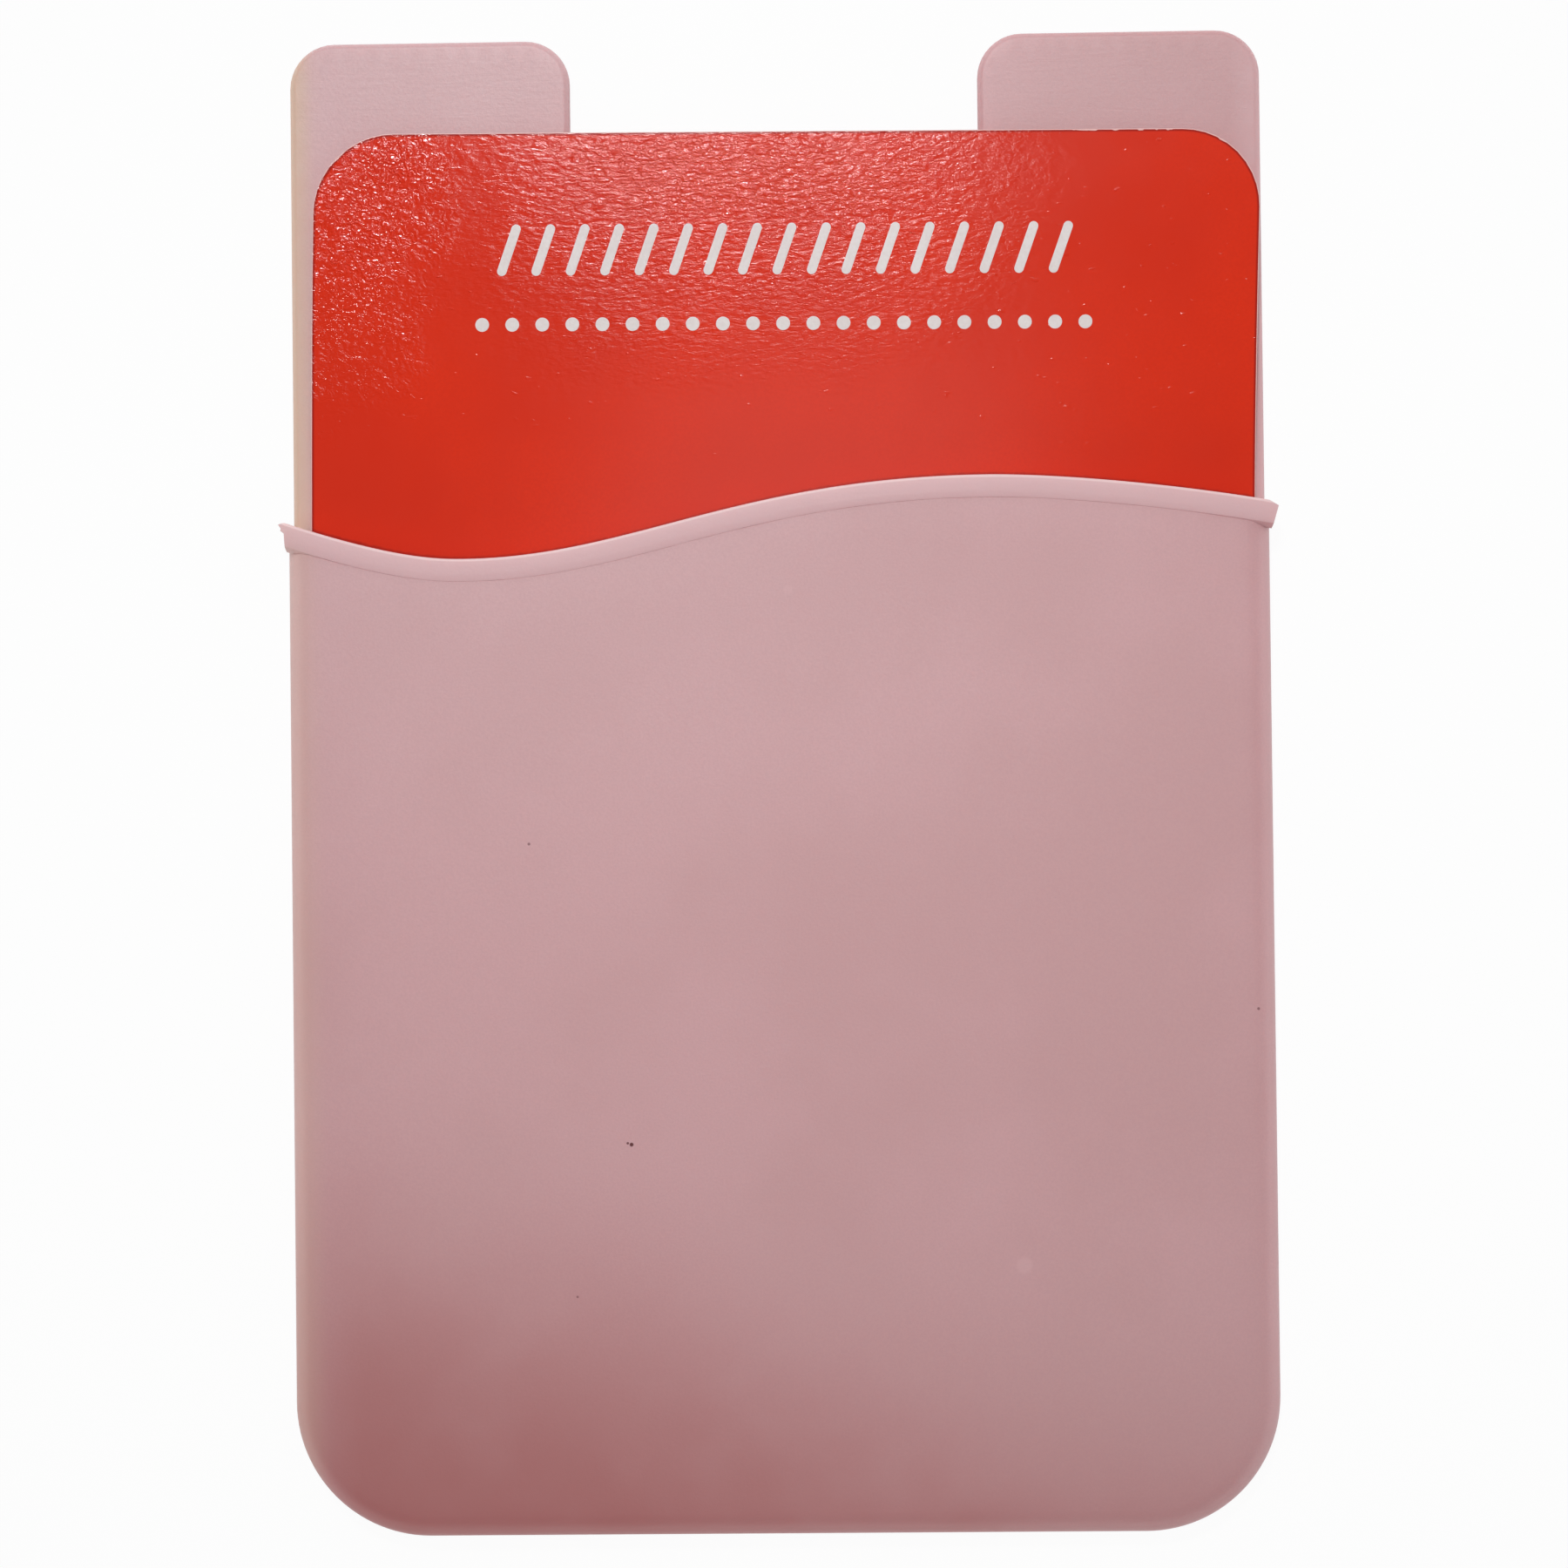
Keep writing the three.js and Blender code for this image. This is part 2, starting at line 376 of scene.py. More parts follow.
@dataclass(frozen=True)
class SiliconeFinish:
    """Matte dusty-pink silicone, paler along the lip, with a beige edge, wrinkled ears, specks, and
    painted sheen, shade and highlight.
    """

    body: Colour = from_screen(213, 166, 169)
    mottle: Colour = from_screen(208, 161, 163)
    dust: Colour = from_screen(196, 150, 156)
    # Painted sheen: a paler pink that stands in for the light's haze towards the ears.
    painted_sheen: Colour = from_screen(219, 181, 184)
    # Painted shade: a deeper, darker pink laid over the foot.
    painted_foot_shade: Colour = from_screen(180, 110, 109)
    lip: Colour = from_screen(223, 184, 187)
    # Painted highlight along the lip's rounded nose.
    painted_lip_highlight: Colour = from_screen(243, 214, 214)
    beige: Colour = from_screen(218, 188, 164)
    speck: Colour = from_screen(96, 34, 38)
    pale: Colour = from_screen(222, 180, 182)
    roughness: float = 0.44

    # How the colours vary over the face.
    cloud_noise: Noise = Noise(0.07, 3.0, 0.55)
    cloud: Band = Band(0.35, 0.65)
    # Painted sheen: the face is painted paler towards the ears and the left, as the light's haze would
    # show.
    painted_sheen_along: Band = Band(-14.0, 30.0, 0.8)
    painted_sheen_across: Band = Band(34.0, -20.0)
    powder_noise: Noise = Noise(8.0, 2.0, 0.6)
    powder: Band = Band(0.35, 0.65, 0.22)

    # Painted shade at the foot, which leans across and fades at the left side.
    shade: Band = Band(-22.0, -49.0)
    shade_lean: float = 0.28
    shade_cloud: float = 4.0
    shade_across: Band = Band(-29.0, -24.0, 0.45)
    shade_least: float = 0.55

    # Edges: distances from the plate's sides, from the mouth, or from the lip's face.
    left_rim: Band = Band(2.2, 0.1, 0.3)
    lip_face: Band = Band(-0.1, -0.03, 0.7)
    # lip_nose and lip_height place the painted highlight on the lip's nose.
    lip_nose: Band = Band(-0.2, -0.1, 0.6)
    lip_height: Band = Band(-0.5, -0.2)
    plate_left: Band = Band(1.5, 0.2, 0.75)
    # Painted light: the plate's right edge band is painted paler, in the lip's colour.
    plate_right: Band = Band(-2.0, -0.2, 0.5)
    past_lip: Band = Band(-1.0, 0.0)
    plate_height: Band = Band(1.6, 1.35)

    # Relief, in millimetres.
    grain_noise: Noise = Noise(5.0, 3.0, 0.6)
    grain: float = 0.010
    sag_noise: Noise = Noise(0.12, 1.0)
    sag: float = 0.02
    wrinkle_noise: Noise = Noise(1.1, 3.0, 0.6, (0.35, 3.2, 1.0), 0.6)
    wrinkles: float = 0.008
    ears: Band = Band(35.5, 40.0)
    sheen_noise: Noise = Noise(0.25, 2.0)
    sheen: float = 0.06

    spot: Band = Band(1.6, 0.5)
    spot_height: Band = Band(1.5, 2.5)
    specks: tuple[Speck, ...] = (
        Speck(-8.78, -20.86, 0.11, 1.0),
        Speck(-9.0, -20.78, 0.07, 0.9),
        Speck(-11.99, -29.61, 0.07, 0.55),
        Speck(-14.55, -3.45, 0.08, 0.6),
        Speck(27.42, -13.38, 0.08, 0.65),
    )
    pale_specks: tuple[Speck, ...] = (Speck(13.8, -28.0, 0.45, 0.35), Speck(0.6, 11.1, 0.25, 0.3))

    def spots(self, surface: Surface, specks: tuple[Speck, ...]) -> Value:
        """How much of a speck shows at each place.

        Args:
            surface: The material that gets the specks.
            specks: Where they lie, how wide they are and how strong.

        Returns:
            The strongest speck's share.
        """
        shown: Value | None = None
        for speck in specks:
            across = (surface.x - speck.x) / speck.radius
            along = (surface.y - speck.y) / speck.radius
            spot = self.spot.of(across * across + along * along) * speck.depth
            shown = spot if shown is None else shown.most(spot)
        return shown * self.spot_height.of(surface.z)

    def colour(
        self, surface: Surface, plate_side: float, mouth: MouthWave, lip_top: float
    ) -> bpy.types.NodeSocket:
        """Lays the colours over one another.

        Args:
            surface: The material that gets them.
            plate_side: How far the plate reaches from the middle.
            mouth: The pocket's mouth, above which the plate shows.
            lip_top: The height of the lip's face.

        Returns:
            The colour's socket.
        """
        x, y, z = surface.x, surface.y, surface.z
        past_mouth = surface.past_line(mouth.edge())
        over_lip = z - lip_top
        on_plate = self.plate_height.of(z) * self.past_lip.of(past_mouth)
        cloud = self.cloud.of(surface.noise(self.cloud_noise))
        shade = self.shade.of(y + x * self.shade_lean + cloud * self.shade_cloud)
        layers = (
            (cloud, self.mottle),
            # Painted sheen, paler towards the ears and the left.
            (self.painted_sheen_along.of(y) * self.painted_sheen_across.of(x), self.painted_sheen),
            (self.powder.of(surface.noise(self.powder_noise)), self.dust),
            # Painted shade, darkest at the foot, weaker at the left side.
            (shade * (self.shade_across.of(x) + self.shade_least), self.painted_foot_shade),
            (self.left_rim.of(x + plate_side), self.beige),
            (self.lip_face.of(over_lip), self.lip),
            # Painted highlight on the lip's rounded nose.
            (self.lip_nose.of(past_mouth) * self.lip_height.of(over_lip), self.painted_lip_highlight),
            (self.plate_left.of(x + plate_side) * on_plate, self.beige),
            # Painted light: the plate's right edge band made paler with the lip's colour.
            (self.plate_right.of(x - plate_side) * on_plate, self.lip),
            (self.spots(surface, self.pale_specks), self.pale),
            (self.spots(surface, self.specks), self.speck),
        )
        return surface.layered(self.body, layers)

    def material(
        self, plate_side: float, mouth: MouthWave, lip_top: float
    ) -> bpy.types.Material:
        """Builds the material.

        Args:
            plate_side: How far the plate reaches from the middle.
            mouth: The pocket's mouth, above which the plate shows.
            lip_top: The height of the lip's face.

        Returns:
            The silicone's material.
        """
        surface = Surface("silicone")
        on_ears = self.ears.of(surface.y) * self.plate_height.of(surface.z)
        wrinkles = (surface.noise(self.wrinkle_noise) - 0.5) * on_ears * self.wrinkles
        height = surface.noise(self.grain_noise) * self.grain
        height = height + surface.noise(self.sag_noise) * self.sag + wrinkles
        gloss = surface.noise(self.sheen_noise) * self.sheen + (self.roughness - self.sheen / 2)
        return surface.finish(
            {
                "Base Color": self.colour(surface, plate_side, mouth, lip_top),
                "Roughness": gloss,
                "Normal": surface.bump(height),
            },
            {
                "Specular IOR Level": 0.6,
                "Subsurface Weight": 0.25,
                "Subsurface Radius": (1.0, 0.6, 0.55),
                "Subsurface Scale": 1.0 * MM,
            },
        )


@dataclass(frozen=True)
class PrintedCardFinish:
    """Glossy laminate over red print: creases at one corner, ripples near the top, a pale cut edge."""

    red: Colour = from_screen(229, 47, 11)
    deep: Colour = from_screen(219, 43, 12)
    rim: Colour = from_screen(150, 16, 8)
    core: Colour = from_screen(236, 190, 186)
    roughness: float = 0.14

    # How the print's colour varies, and how its edges look.
    cloud_noise: Noise = Noise(0.09, 3.0)
    cloud: Band = Band(0.3, 0.7)
    grain_noise: Noise = Noise(6.0, 2.0)
    grain: Band = Band(0.3, 0.7, 0.5)
    rim_line: Band = Band(0.22, 0.10, 0.8)
    cut_edge: Band = Band(0.06, 0.04)
    lip_shade: Band = Band(0.38, 0.2, 0.6)
    ragged_noise: Noise = Noise(2.5, 2.0, 0.6)
    ragged: float = 0.16
    nick_noise: Noise = Noise(1.3, 2.0, 0.5, (1.0, 0.3, 1.0))
    nick: Band = Band(0.5, 0.6, 0.06)
    worn_across: Band = Band(16.0, 19.0)
    worn_top: Band = Band(-1.2, -0.7)

    # Where the laminate is uneven: heights count from the card's top.
    patch_noise: Noise = Noise(0.35, 2.0)
    corner_reach: Point = (9.0, 17.0)
    corner_patches: float = 1.2
    corner: Band = Band(1.4, 0.0)
    upper: Band = Band(-18.0, -3.0)
    upper_right: Band = Band(20.0, 2.0)
    upper_left: Band = Band(-24.0, -5.0)
    upper_patches: Point = (4.8, 3.6)
    fleck_along: Band = Band(-22.0, -6.0)

    # Relief, in millimetres.
    worm_noise: Noise = Noise(1.9, 2.0, 0.5, (1.0, 1.25, 1.0), 1.2)
    worms: float = 0.11
    ripple_noise: Noise = Noise(2.3, 3.0, 0.6, (0.8, 1.7, 1.0), 0.4)
    ripples: float = 0.075
    peel_noise: Noise = Noise(1.6, 2.0)
    peel: float = 0.003
    fleck_noise: Noise = Noise(2.2, 1.0, 0.5, (0.7, 1.3, 1.0))
    fleck: Band = Band(0.72, 0.78, 0.015)
    sheen_noise: Noise = Noise(0.6, 2.0)
    sheen: float = 0.04

    def colour(
        self, surface: Surface, card: CardSizes, mouth: MouthWave
    ) -> bpy.types.NodeSocket:
        """Lays the print's colours over one another.

        Args:
            surface: The material that gets them.
            card: The card that wears it.
            mouth: The pocket's mouth, along which the card is shaded.

        Returns:
            The colour's socket.
        """
        rim = surface.attribute("rim")
        past_mouth = surface.past_line(mouth.edge())
        ragged = surface.noise(self.ragged_noise) * self.ragged
        worn = self.worn_across.of(surface.x) * self.worn_top.of(surface.y - card.top)
        nicks = self.nick.of(surface.noise(self.nick_noise)) * worn
        layers = (
            (self.cloud.of(surface.noise(self.cloud_noise)), self.deep),
            (self.grain.of(surface.noise(self.grain_noise)), self.deep),
            (self.rim_line.of(rim), self.rim),
            (self.lip_shade.of(past_mouth + ragged), self.rim),
            (self.cut_edge.of(rim - nicks), self.core),
        )
        return surface.layered(self.red, layers)

    def material(self, card: CardSizes, mouth: MouthWave) -> bpy.types.Material:
        """Builds the material.

        Args:
            card: The card that wears it, whose print ends at its rim.
            mouth: The pocket's mouth, along which the card is shaded.

        Returns:
            The printed card's material.
        """
        surface = Surface("printed_card")
        x, y = surface.x, surface.y
        patches = surface.noise(self.patch_noise) - 0.5
        corner_x = (x + card.side) / self.corner_reach[0]
        corner_y = (card.top - y) / self.corner_reach[1]
        from_corner = corner_x * corner_x + corner_y * corner_y
        at_corner = self.corner.of(from_corner + patches * self.corner_patches)
        patchy_x = x + patches * self.upper_patches[0]
        patchy_y = y - card.top + patches * self.upper_patches[1]
        upper = self.upper.of(patchy_y) * self.upper_right.of(patchy_x)
        upper = upper * self.upper_left.of(patchy_x)
        flecks = self.fleck.of(surface.noise(self.fleck_noise))

        height = surface.noise(self.peel_noise) * self.peel
        height = height + surface.noise(self.worm_noise) * at_corner * self.worms
        height = height + surface.noise(self.ripple_noise) * upper * self.ripples
        height = height + flecks * self.fleck_along.of(y - card.top)
        gloss = surface.noise(self.sheen_noise) * self.sheen + (self.roughness - self.sheen / 2)
        return surface.finish(
            {
                "Base Color": self.colour(surface, card, mouth),
                "Roughness": gloss - at_corner * self.sheen,
                "Normal": surface.bump(height),
            },
            {"Specular IOR Level": 0.35},
        )


@dataclass(frozen=True)
class SheetFinish:
    """A thin sheet of paper, adhesive or ink: one colour, faint fibres or flow and a little relief."""

    name: str
    colour: Colour
    shade: Colour
    roughness: float
    fibres: Noise
    clouds: Noise
    relief: float
    fibre_share: float = 0.6
    shading: Band = Band(0.35, 0.65)
    sheen: float = 0.1

    def material(self) -> bpy.types.Material:
        """Builds the material."""
        surface = Surface(self.name)
        fibres = surface.noise(self.fibres)
        clouds = surface.noise(self.clouds)
        share = self.shading.of(fibres * self.fibre_share + clouds * (1 - self.fibre_share))
        gloss = clouds * self.sheen + (self.roughness - self.sheen / 2)
        return surface.finish(
            {
                "Base Color": surface.layered(self.colour, ((share, self.shade),)),
                "Roughness": gloss,
                "Normal": surface.bump(fibres * self.relief),
            },
            {"Specular IOR Level": 0.5},
        )


LINER_PAPER = SheetFinish(
    "liner_paper",
    from_screen(238, 232, 218),
    from_screen(229, 221, 204),
    0.5,
    Noise(3.0, 4.0, 0.6, distortion=0.4),
    Noise(0.15),
    0.012,
)
ADHESIVE = SheetFinish(
    "adhesive",
    from_screen(226, 224, 216),
    from_screen(214, 211, 202),
    0.35,
    Noise(1.2, 4.0, 0.6, distortion=0.4),
    Noise(0.06),
    0.02,
)
WHITE_INK = SheetFinish(
    "white_ink",
    from_screen(232, 224, 222),
    from_screen(225, 214, 212),
    0.35,
    Noise(4.0, 4.0, 0.6, distortion=0.4),
    Noise(0.2),
    0.004,
)


@dataclass(frozen=True)
class CardSizes:
    """The card's outline, its place in the pocket and how its free end springs off the plate."""

    width: float = 54.9
    length: float = 79.0
    radius: float = 4.6
    thickness: float = 0.35
    foot: float = -41.3
    seat: float = 1.3
    rise: float = 1.2
    free_length: float = 26.0
    skew: float = 0.4
    curl: float = 0.24
    curl_reach: Point = (6.0, 18.0)
    lean_degrees: float = -0.49
    pivot_y: float = -13.6

    @property
    def top(self) -> float:
        """The height of the card's upper edge."""
        return self.foot + self.length

    @property
    def side(self) -> float:
        """Half of the card's width."""
        return self.width / 2


@dataclass(frozen=True)
class HolderSizes:
    """The moulding's sizes, the same as the frame's."""

    length: float = 87.0
    width: float = 57.0
    setback: float = 0.2
    back: float = 0.4
    foot_radius: float = 7.8
    ear_width: float = 16.4
    ear_radius: float = 2.6
    notch_depth: float = 8.6
    notch_radius: float = 2.5
    plate: float = 0.9
    plate_round: float = 0.4
    gap: float = 0.75
    gap_round: float = 0.3
    panel: float = 0.85
    panel_round: float = 1.4
    panel_crown: float = 0.1
    mouth_lift: float = 0.2
    mouth_lift_reach: float = 6.0
    mouth_lift_fade: int = 14
    mouth_wobble: tuple[Corner, ...] = ((0.010, 0.9, 0.0), (0.006, 2.1, 1.0))
    wall: float = 0.7
    lip_width: float = 1.25
    lip_rise: float = 0.3
    lip_overhang: float = 0.43
    lip_nose: float = 0.14
    lip_nose_steps: int = 8
    lip_step: tuple[Point, ...] = ((-0.4, 0.0), (-0.15, 0.025), (0.05, 0.07), (0.2, 0.4))
    lip_root: float = 0.3
    overlap: float = 0.02
    clear: float = 1.0
    fine_grid: float = 0.6
    coarse_grid: float = 3.0
    sharp_degrees: float = 30.0

    @property
    def foot(self) -> float:
        """The lowest point along Y."""
        return -self.length / 2

    @property
    def ear_top(self) -> float:
        """The highest point along Y."""
        return self.length / 2

    @property
    def side(self) -> float:
        """Half of the pocket's width."""
        return self.width / 2

    @property
    def plate_side(self) -> float:
        """Half of the plate's width."""
        return self.side - self.setback

    @property
    def floor(self) -> float:
        """The plate's front face."""
        return self.back + self.plate

    @property
    def ceiling(self) -> float:
        """The underside of the pocket's panel."""
        return self.floor + self.gap

    @property
    def front(self) -> float:
        """The front face of the pocket's panel."""
        return self.ceiling + self.panel

    @property
    def lip_top(self) -> float:
        """The face of the lip."""
        return self.front + self.lip_rise


@dataclass(frozen=True)
class MouthWave:
    """The pocket mouth's edge: a trough on the left, a crest on the right, joined by smooth curves."""

    left: Point = (-28.5, 15.3)
    left_slope: float = -0.34
    trough: Point = (-18.2, 13.1)
    crest: Point = (12.2, 17.6)
    right: Point = (28.5, 15.9)
    right_slope: float = -0.18
    left_handles: Point = (6.2, 1.5)
    middle_handles: Point = (9.7, 14.6)
    right_handles: Point = (3.3, 6.5)
    past: float = 1.7
    steps: int = 64

    def edge(self) -> np.ndarray:
        """The edge as points from left to right, carried straight on past both sides."""
        spans = (
            (self.left, self.left_slope, self.trough, 0.0, self.left_handles),
            (self.trough, 0.0, self.crest, 0.0, self.middle_handles),
            (self.crest, 0.0, self.right, self.right_slope, self.right_handles),
        )
        share = np.linspace(0, 1, self.steps, endpoint=False)[:, None]
        runs = []
        for start, start_slope, end, end_slope, (out, back) in spans:
            first, last = np.array(start), np.array(end)
            leaving = first + out * np.array((1.0, start_slope))
            arriving = last - back * np.array((1.0, end_slope))
            runs.append(
                (1 - share) ** 3 * first
                + 3 * (1 - share) ** 2 * share * leaving
                + 3 * (1 - share) * share**2 * arriving
                + share**3 * last
            )
        before = np.array(self.left) - self.past * np.array((1.0, self.left_slope))
        after = np.array(self.right) + self.past * np.array((1.0, self.right_slope))
        return np.vstack([before[None], *runs, np.array(self.right)[None], after[None]])


class Join(Enum):
    """What a boolean does with its tool."""

    ADD = "UNION"
    CUT = "DIFFERENCE"
    KEEP = "INTERSECT"


def new_object(name: str, mesh: bpy.types.Mesh) -> bpy.types.Object:
    """An object for a mesh, at the origin, in the scene."""
    piece = bpy.data.objects.new(name, mesh)
    bpy.context.scene.collection.objects.link(piece)
    return piece


def mesh_object(name: str, points: np.ndarray, faces: list[tuple[int, ...]]) -> bpy.types.Object:
    """An object from points in millimetres.

    Args:
        name: The object's name.
        points: Its vertices, one row each.
        faces: Its faces, as places in points.

    Returns:
        The object, at the origin.
    """
    mesh = bpy.data.meshes.new(name)
    mesh.from_pydata((points * MM).tolist(), [], faces)
    mesh.validate()
    mesh.update()
    return new_object(name, mesh)


def applied(piece: bpy.types.Object) -> bpy.types.Object:
    """The piece with its modifiers applied, as a plain mesh object of the same name."""
    bpy.context.view_layer.update()
    evaluated = piece.evaluated_get(bpy.context.evaluated_depsgraph_get())
    mesh = bpy.data.meshes.new_from_object(evaluated)
    name = piece.name
    discard(piece)
    mesh.name = name
    return new_object(name, mesh)


def discard(piece: bpy.types.Object) -> None:
    """Removes an object that was only a tool."""
    bpy.data.objects.remove(piece)


def joined(base: bpy.types.Object, how: Join, tool: bpy.types.Object) -> bpy.types.Object:
    """Two closed meshes made into one.

    Args:
        base: The mesh that is changed.
        how: Whether the tool is added, cut away or kept in common.
        tool: The other mesh, which is used up.

    Returns:
        The new mesh object, with the base's name.
    """
    boolean = base.modifiers.new("boolean", "BOOLEAN")
    boolean.operation = how.value
    boolean.solver = "MANIFOLD"
    boolean.object = tool
    made = applied(base)
    discard(tool)
    return made


def prism(name: str, loop: np.ndarray, low: float, high: float) -> bpy.types.Object:
    """A loop raised into a closed block.

    Args:
        name: The block's name.
        loop: The loop's points (x, y), anticlockwise.
        low: Its lower face.
        high: Its upper face.

    Returns:
        The block.
    """
    count = len(loop)
    points = np.vstack([np.column_stack([loop, np.full(count, z)]) for z in (low, high)])
    sides = [(i, (i + 1) % count, count + (i + 1) % count, count + i) for i in range(count)]
    caps = [tuple(range(count))[::-1], tuple(range(count, 2 * count))]
    return mesh_object(name, points, sides + caps)


@dataclass
class Outline:
    """A closed outline through corners (x, y, radius), anticlockwise, each rounded by an arc."""

    corners: list[Corner]
    spacing: float = 0.45
    points: np.ndarray = field(init=False)
    normals: np.ndarray = field(init=False)

    def __post_init__(self) -> None:
        """Samples the outline into points and their outward normals."""
        arcs = [self.arc(i) for i in range(len(self.corners))]
        points, normals = [], []
        for i, (arc_points, arc_normals) in enumerate(arcs):
            points.append(arc_points)
            normals.append(arc_normals)
            start, end = arc_points[-1], arcs[(i + 1) % len(arcs)][0][0]
            steps = max(1, math.ceil(np.linalg.norm(end - start) / self.spacing))
            share = np.linspace(0, 1, steps + 1)[1:-1, None]
            points.append(start + share * (end - start))
            normals.append(np.repeat(arc_normals[-1][None], len(share), axis=0))
        self.points = np.vstack(points)
        self.normals = np.vstack(normals)

    def arc(self, place: int) -> tuple[np.ndarray, np.ndarray]:
        """One corner's arc.

        Args:
            place: Which corner.

        Returns:
            The arc's points and its outward normals.
        """
        x, y, radius = self.corners[place]
        corner = np.array((x, y))
        back = np.array(self.corners[place - 1][:2]) - corner
        on = np.array(self.corners[(place + 1) % len(self.corners)][:2]) - corner
        back, on = back / np.linalg.norm(back), on / np.linalg.norm(on)
        half = math.acos(float(back @ on)) / 2
        start, end = corner + back * radius / math.tan(half), corner + on * radius / math.tan(half)
        inward = (back + on) / np.linalg.norm(back + on)
        centre = corner + inward * radius / math.sin(half)
        first = math.atan2(*(start - centre)[::-1])
        turn = math.atan2(*(end - centre)[::-1]) - first
        turn = (turn + math.pi) % (2 * math.pi) - math.pi
        steps = max(6, math.ceil(abs(turn) * radius / self.spacing))
        angles = first + turn * np.linspace(0, 1, steps + 1)
        spokes = np.column_stack([np.cos(angles), np.sin(angles)])
        return centre + radius * spokes, spokes * math.copysign(1.0, turn)

    def inset(self, distance: float) -> np.ndarray:
        """The outline's points moved inwards by a distance."""
        return self.points - self.normals * distance


def rectangle(side: float, bottom: float, top: float, lower: float, upper: float) -> Outline:
    """A rectangle about the middle of X with round corners.

    Args:
        side: Half of its width.
        bottom: Its lower edge along Y.
        top: Its upper edge along Y.
        lower: The radius of its lower corners.
        upper: The radius of its upper corners.

    Returns:
        The outline.
    """
    corners = [(-side, bottom, lower), (side, bottom, lower), (side, top, upper), (-side, top, upper)]
    return Outline(corners)


def inside(points: np.ndarray, loop: np.ndarray, margin: float) -> np.ndarray:
    """Which points lie in a loop and well away from it.

    Args:
        points: The points to try.
        loop: The closed loop's points.
        margin: How far from the loop a point must be.

    Returns:
        One truth value for each point.
    """
    after = np.roll(loop, -1, axis=0)
    px, py = points[:, :1], points[:, 1:]
    crosses = (loop[:, 1] > py) != (after[:, 1] > py)
    rise = np.where(after[:, 1] == loop[:, 1], 1.0, after[:, 1] - loop[:, 1])
    at = loop[:, 0] + (py - loop[:, 1]) * (after[:, 0] - loop[:, 0]) / rise
    odd = (crosses & (px < at)).sum(axis=1) % 2 == 1
    near = np.sqrt(((points[:, None] - loop[None]) ** 2).sum(axis=2)).min(axis=1)
    return odd & (near > margin)


@dataclass
class Slab:
    """A closed block: an outline raised from low to high, its edges rounded, its faces finely meshed."""

    outline: Outline
    low: float
    high: float
    low_round: float
    high_round: float
    grid: float = 1.3
    grid_margin: float = 0.55
    round_steps: int = 8
    lift: Callable[[np.ndarray], np.ndarray] | None = None

    def rings(self) -> list[tuple[np.ndarray, float]]:
        """The outline's rings from the lower face's rim to the upper face's, each with its height."""
        quarter = np.linspace(0, math.pi / 2, self.round_steps + 1)
        low, high = self.low_round, self.high_round
        made = [(0.0, self.low)]
        if low:
            made = [
                (low * (1 - math.sin(a)), self.low + low * (1 - math.cos(a))) for a in quarter
            ]
        made += [
            (high * (1 - math.cos(a)), self.high - high * (1 - math.sin(a))) for a in quarter
        ]
        return [(self.outline.inset(inset), height) for inset, height in made]

    def cap(self, loop: np.ndarray) -> tuple[np.ndarray, list[tuple[int, ...]]]:
        """Fills a loop with fine triangles.

        Args:
            loop: The loop's points.

        Returns:
            The points added inside it, and the faces, which count the loop's points first.
        """
        lows, highs = loop.min(axis=0), loop.max(axis=0)
        row = self.grid * math.sqrt(3) / 2
        ys = np.arange(lows[1] + row / 2, highs[1], row)
        xs = np.arange(lows[0] + self.grid / 2, highs[0], self.grid)
        net = np.array([(x + self.grid / 2 * (j % 2), y) for j, y in enumerate(ys) for x in xs])
        net = net[inside(net, loop, self.grid * self.grid_margin)]
        count = len(loop)
        edges = [(i, (i + 1) % count) for i in range(count)]
        points = [Vector(p) for p in np.vstack([loop, net])]
        made = delaunay_2d_cdt(points, edges, [], INNER_TRIANGLES, SAME_POINT)
        source = [ids[0] for ids in made[3]]
        return net, [tuple(source[v] for v in face) for face in made[2]]

    def build(self, name: str) -> bpy.types.Object:
        """Builds the closed mesh under that name."""
        rings = self.rings()
        count = len(rings[0][0])
        stacks = [np.column_stack([ring, np.full(count, height)]) for ring, height in rings]
        faces: list[tuple[int, ...]] = []
        for level in range(len(rings) - 1):
            below, above = level * count, (level + 1) * count
            for i in range(count):
                j = (i + 1) % count
                faces.append((below + i, below + j, above + j, above + i))
        first = len(rings) * count
        for level, height, upward in ((0, self.low, False), (len(rings) - 1, self.high, True)):
            net, triangles = self.cap(rings[level][0])
            ring = level * count
            ids = [ring + v for v in range(count)] + [first + v for v in range(len(net))]
            for triangle in triangles:
                face = tuple(ids[v] for v in triangle)
                faces.append(face if upward else face[::-1])
            stacks.append(np.column_stack([net, np.full(len(net), height)]))
            first += len(net)
        points = np.vstack(stacks)
        if self.lift:
            top = points[:, 2] > (self.low + self.high) / 2
            points[top, 2] += self.lift(points[top])
        return mesh_object(name, points, faces)


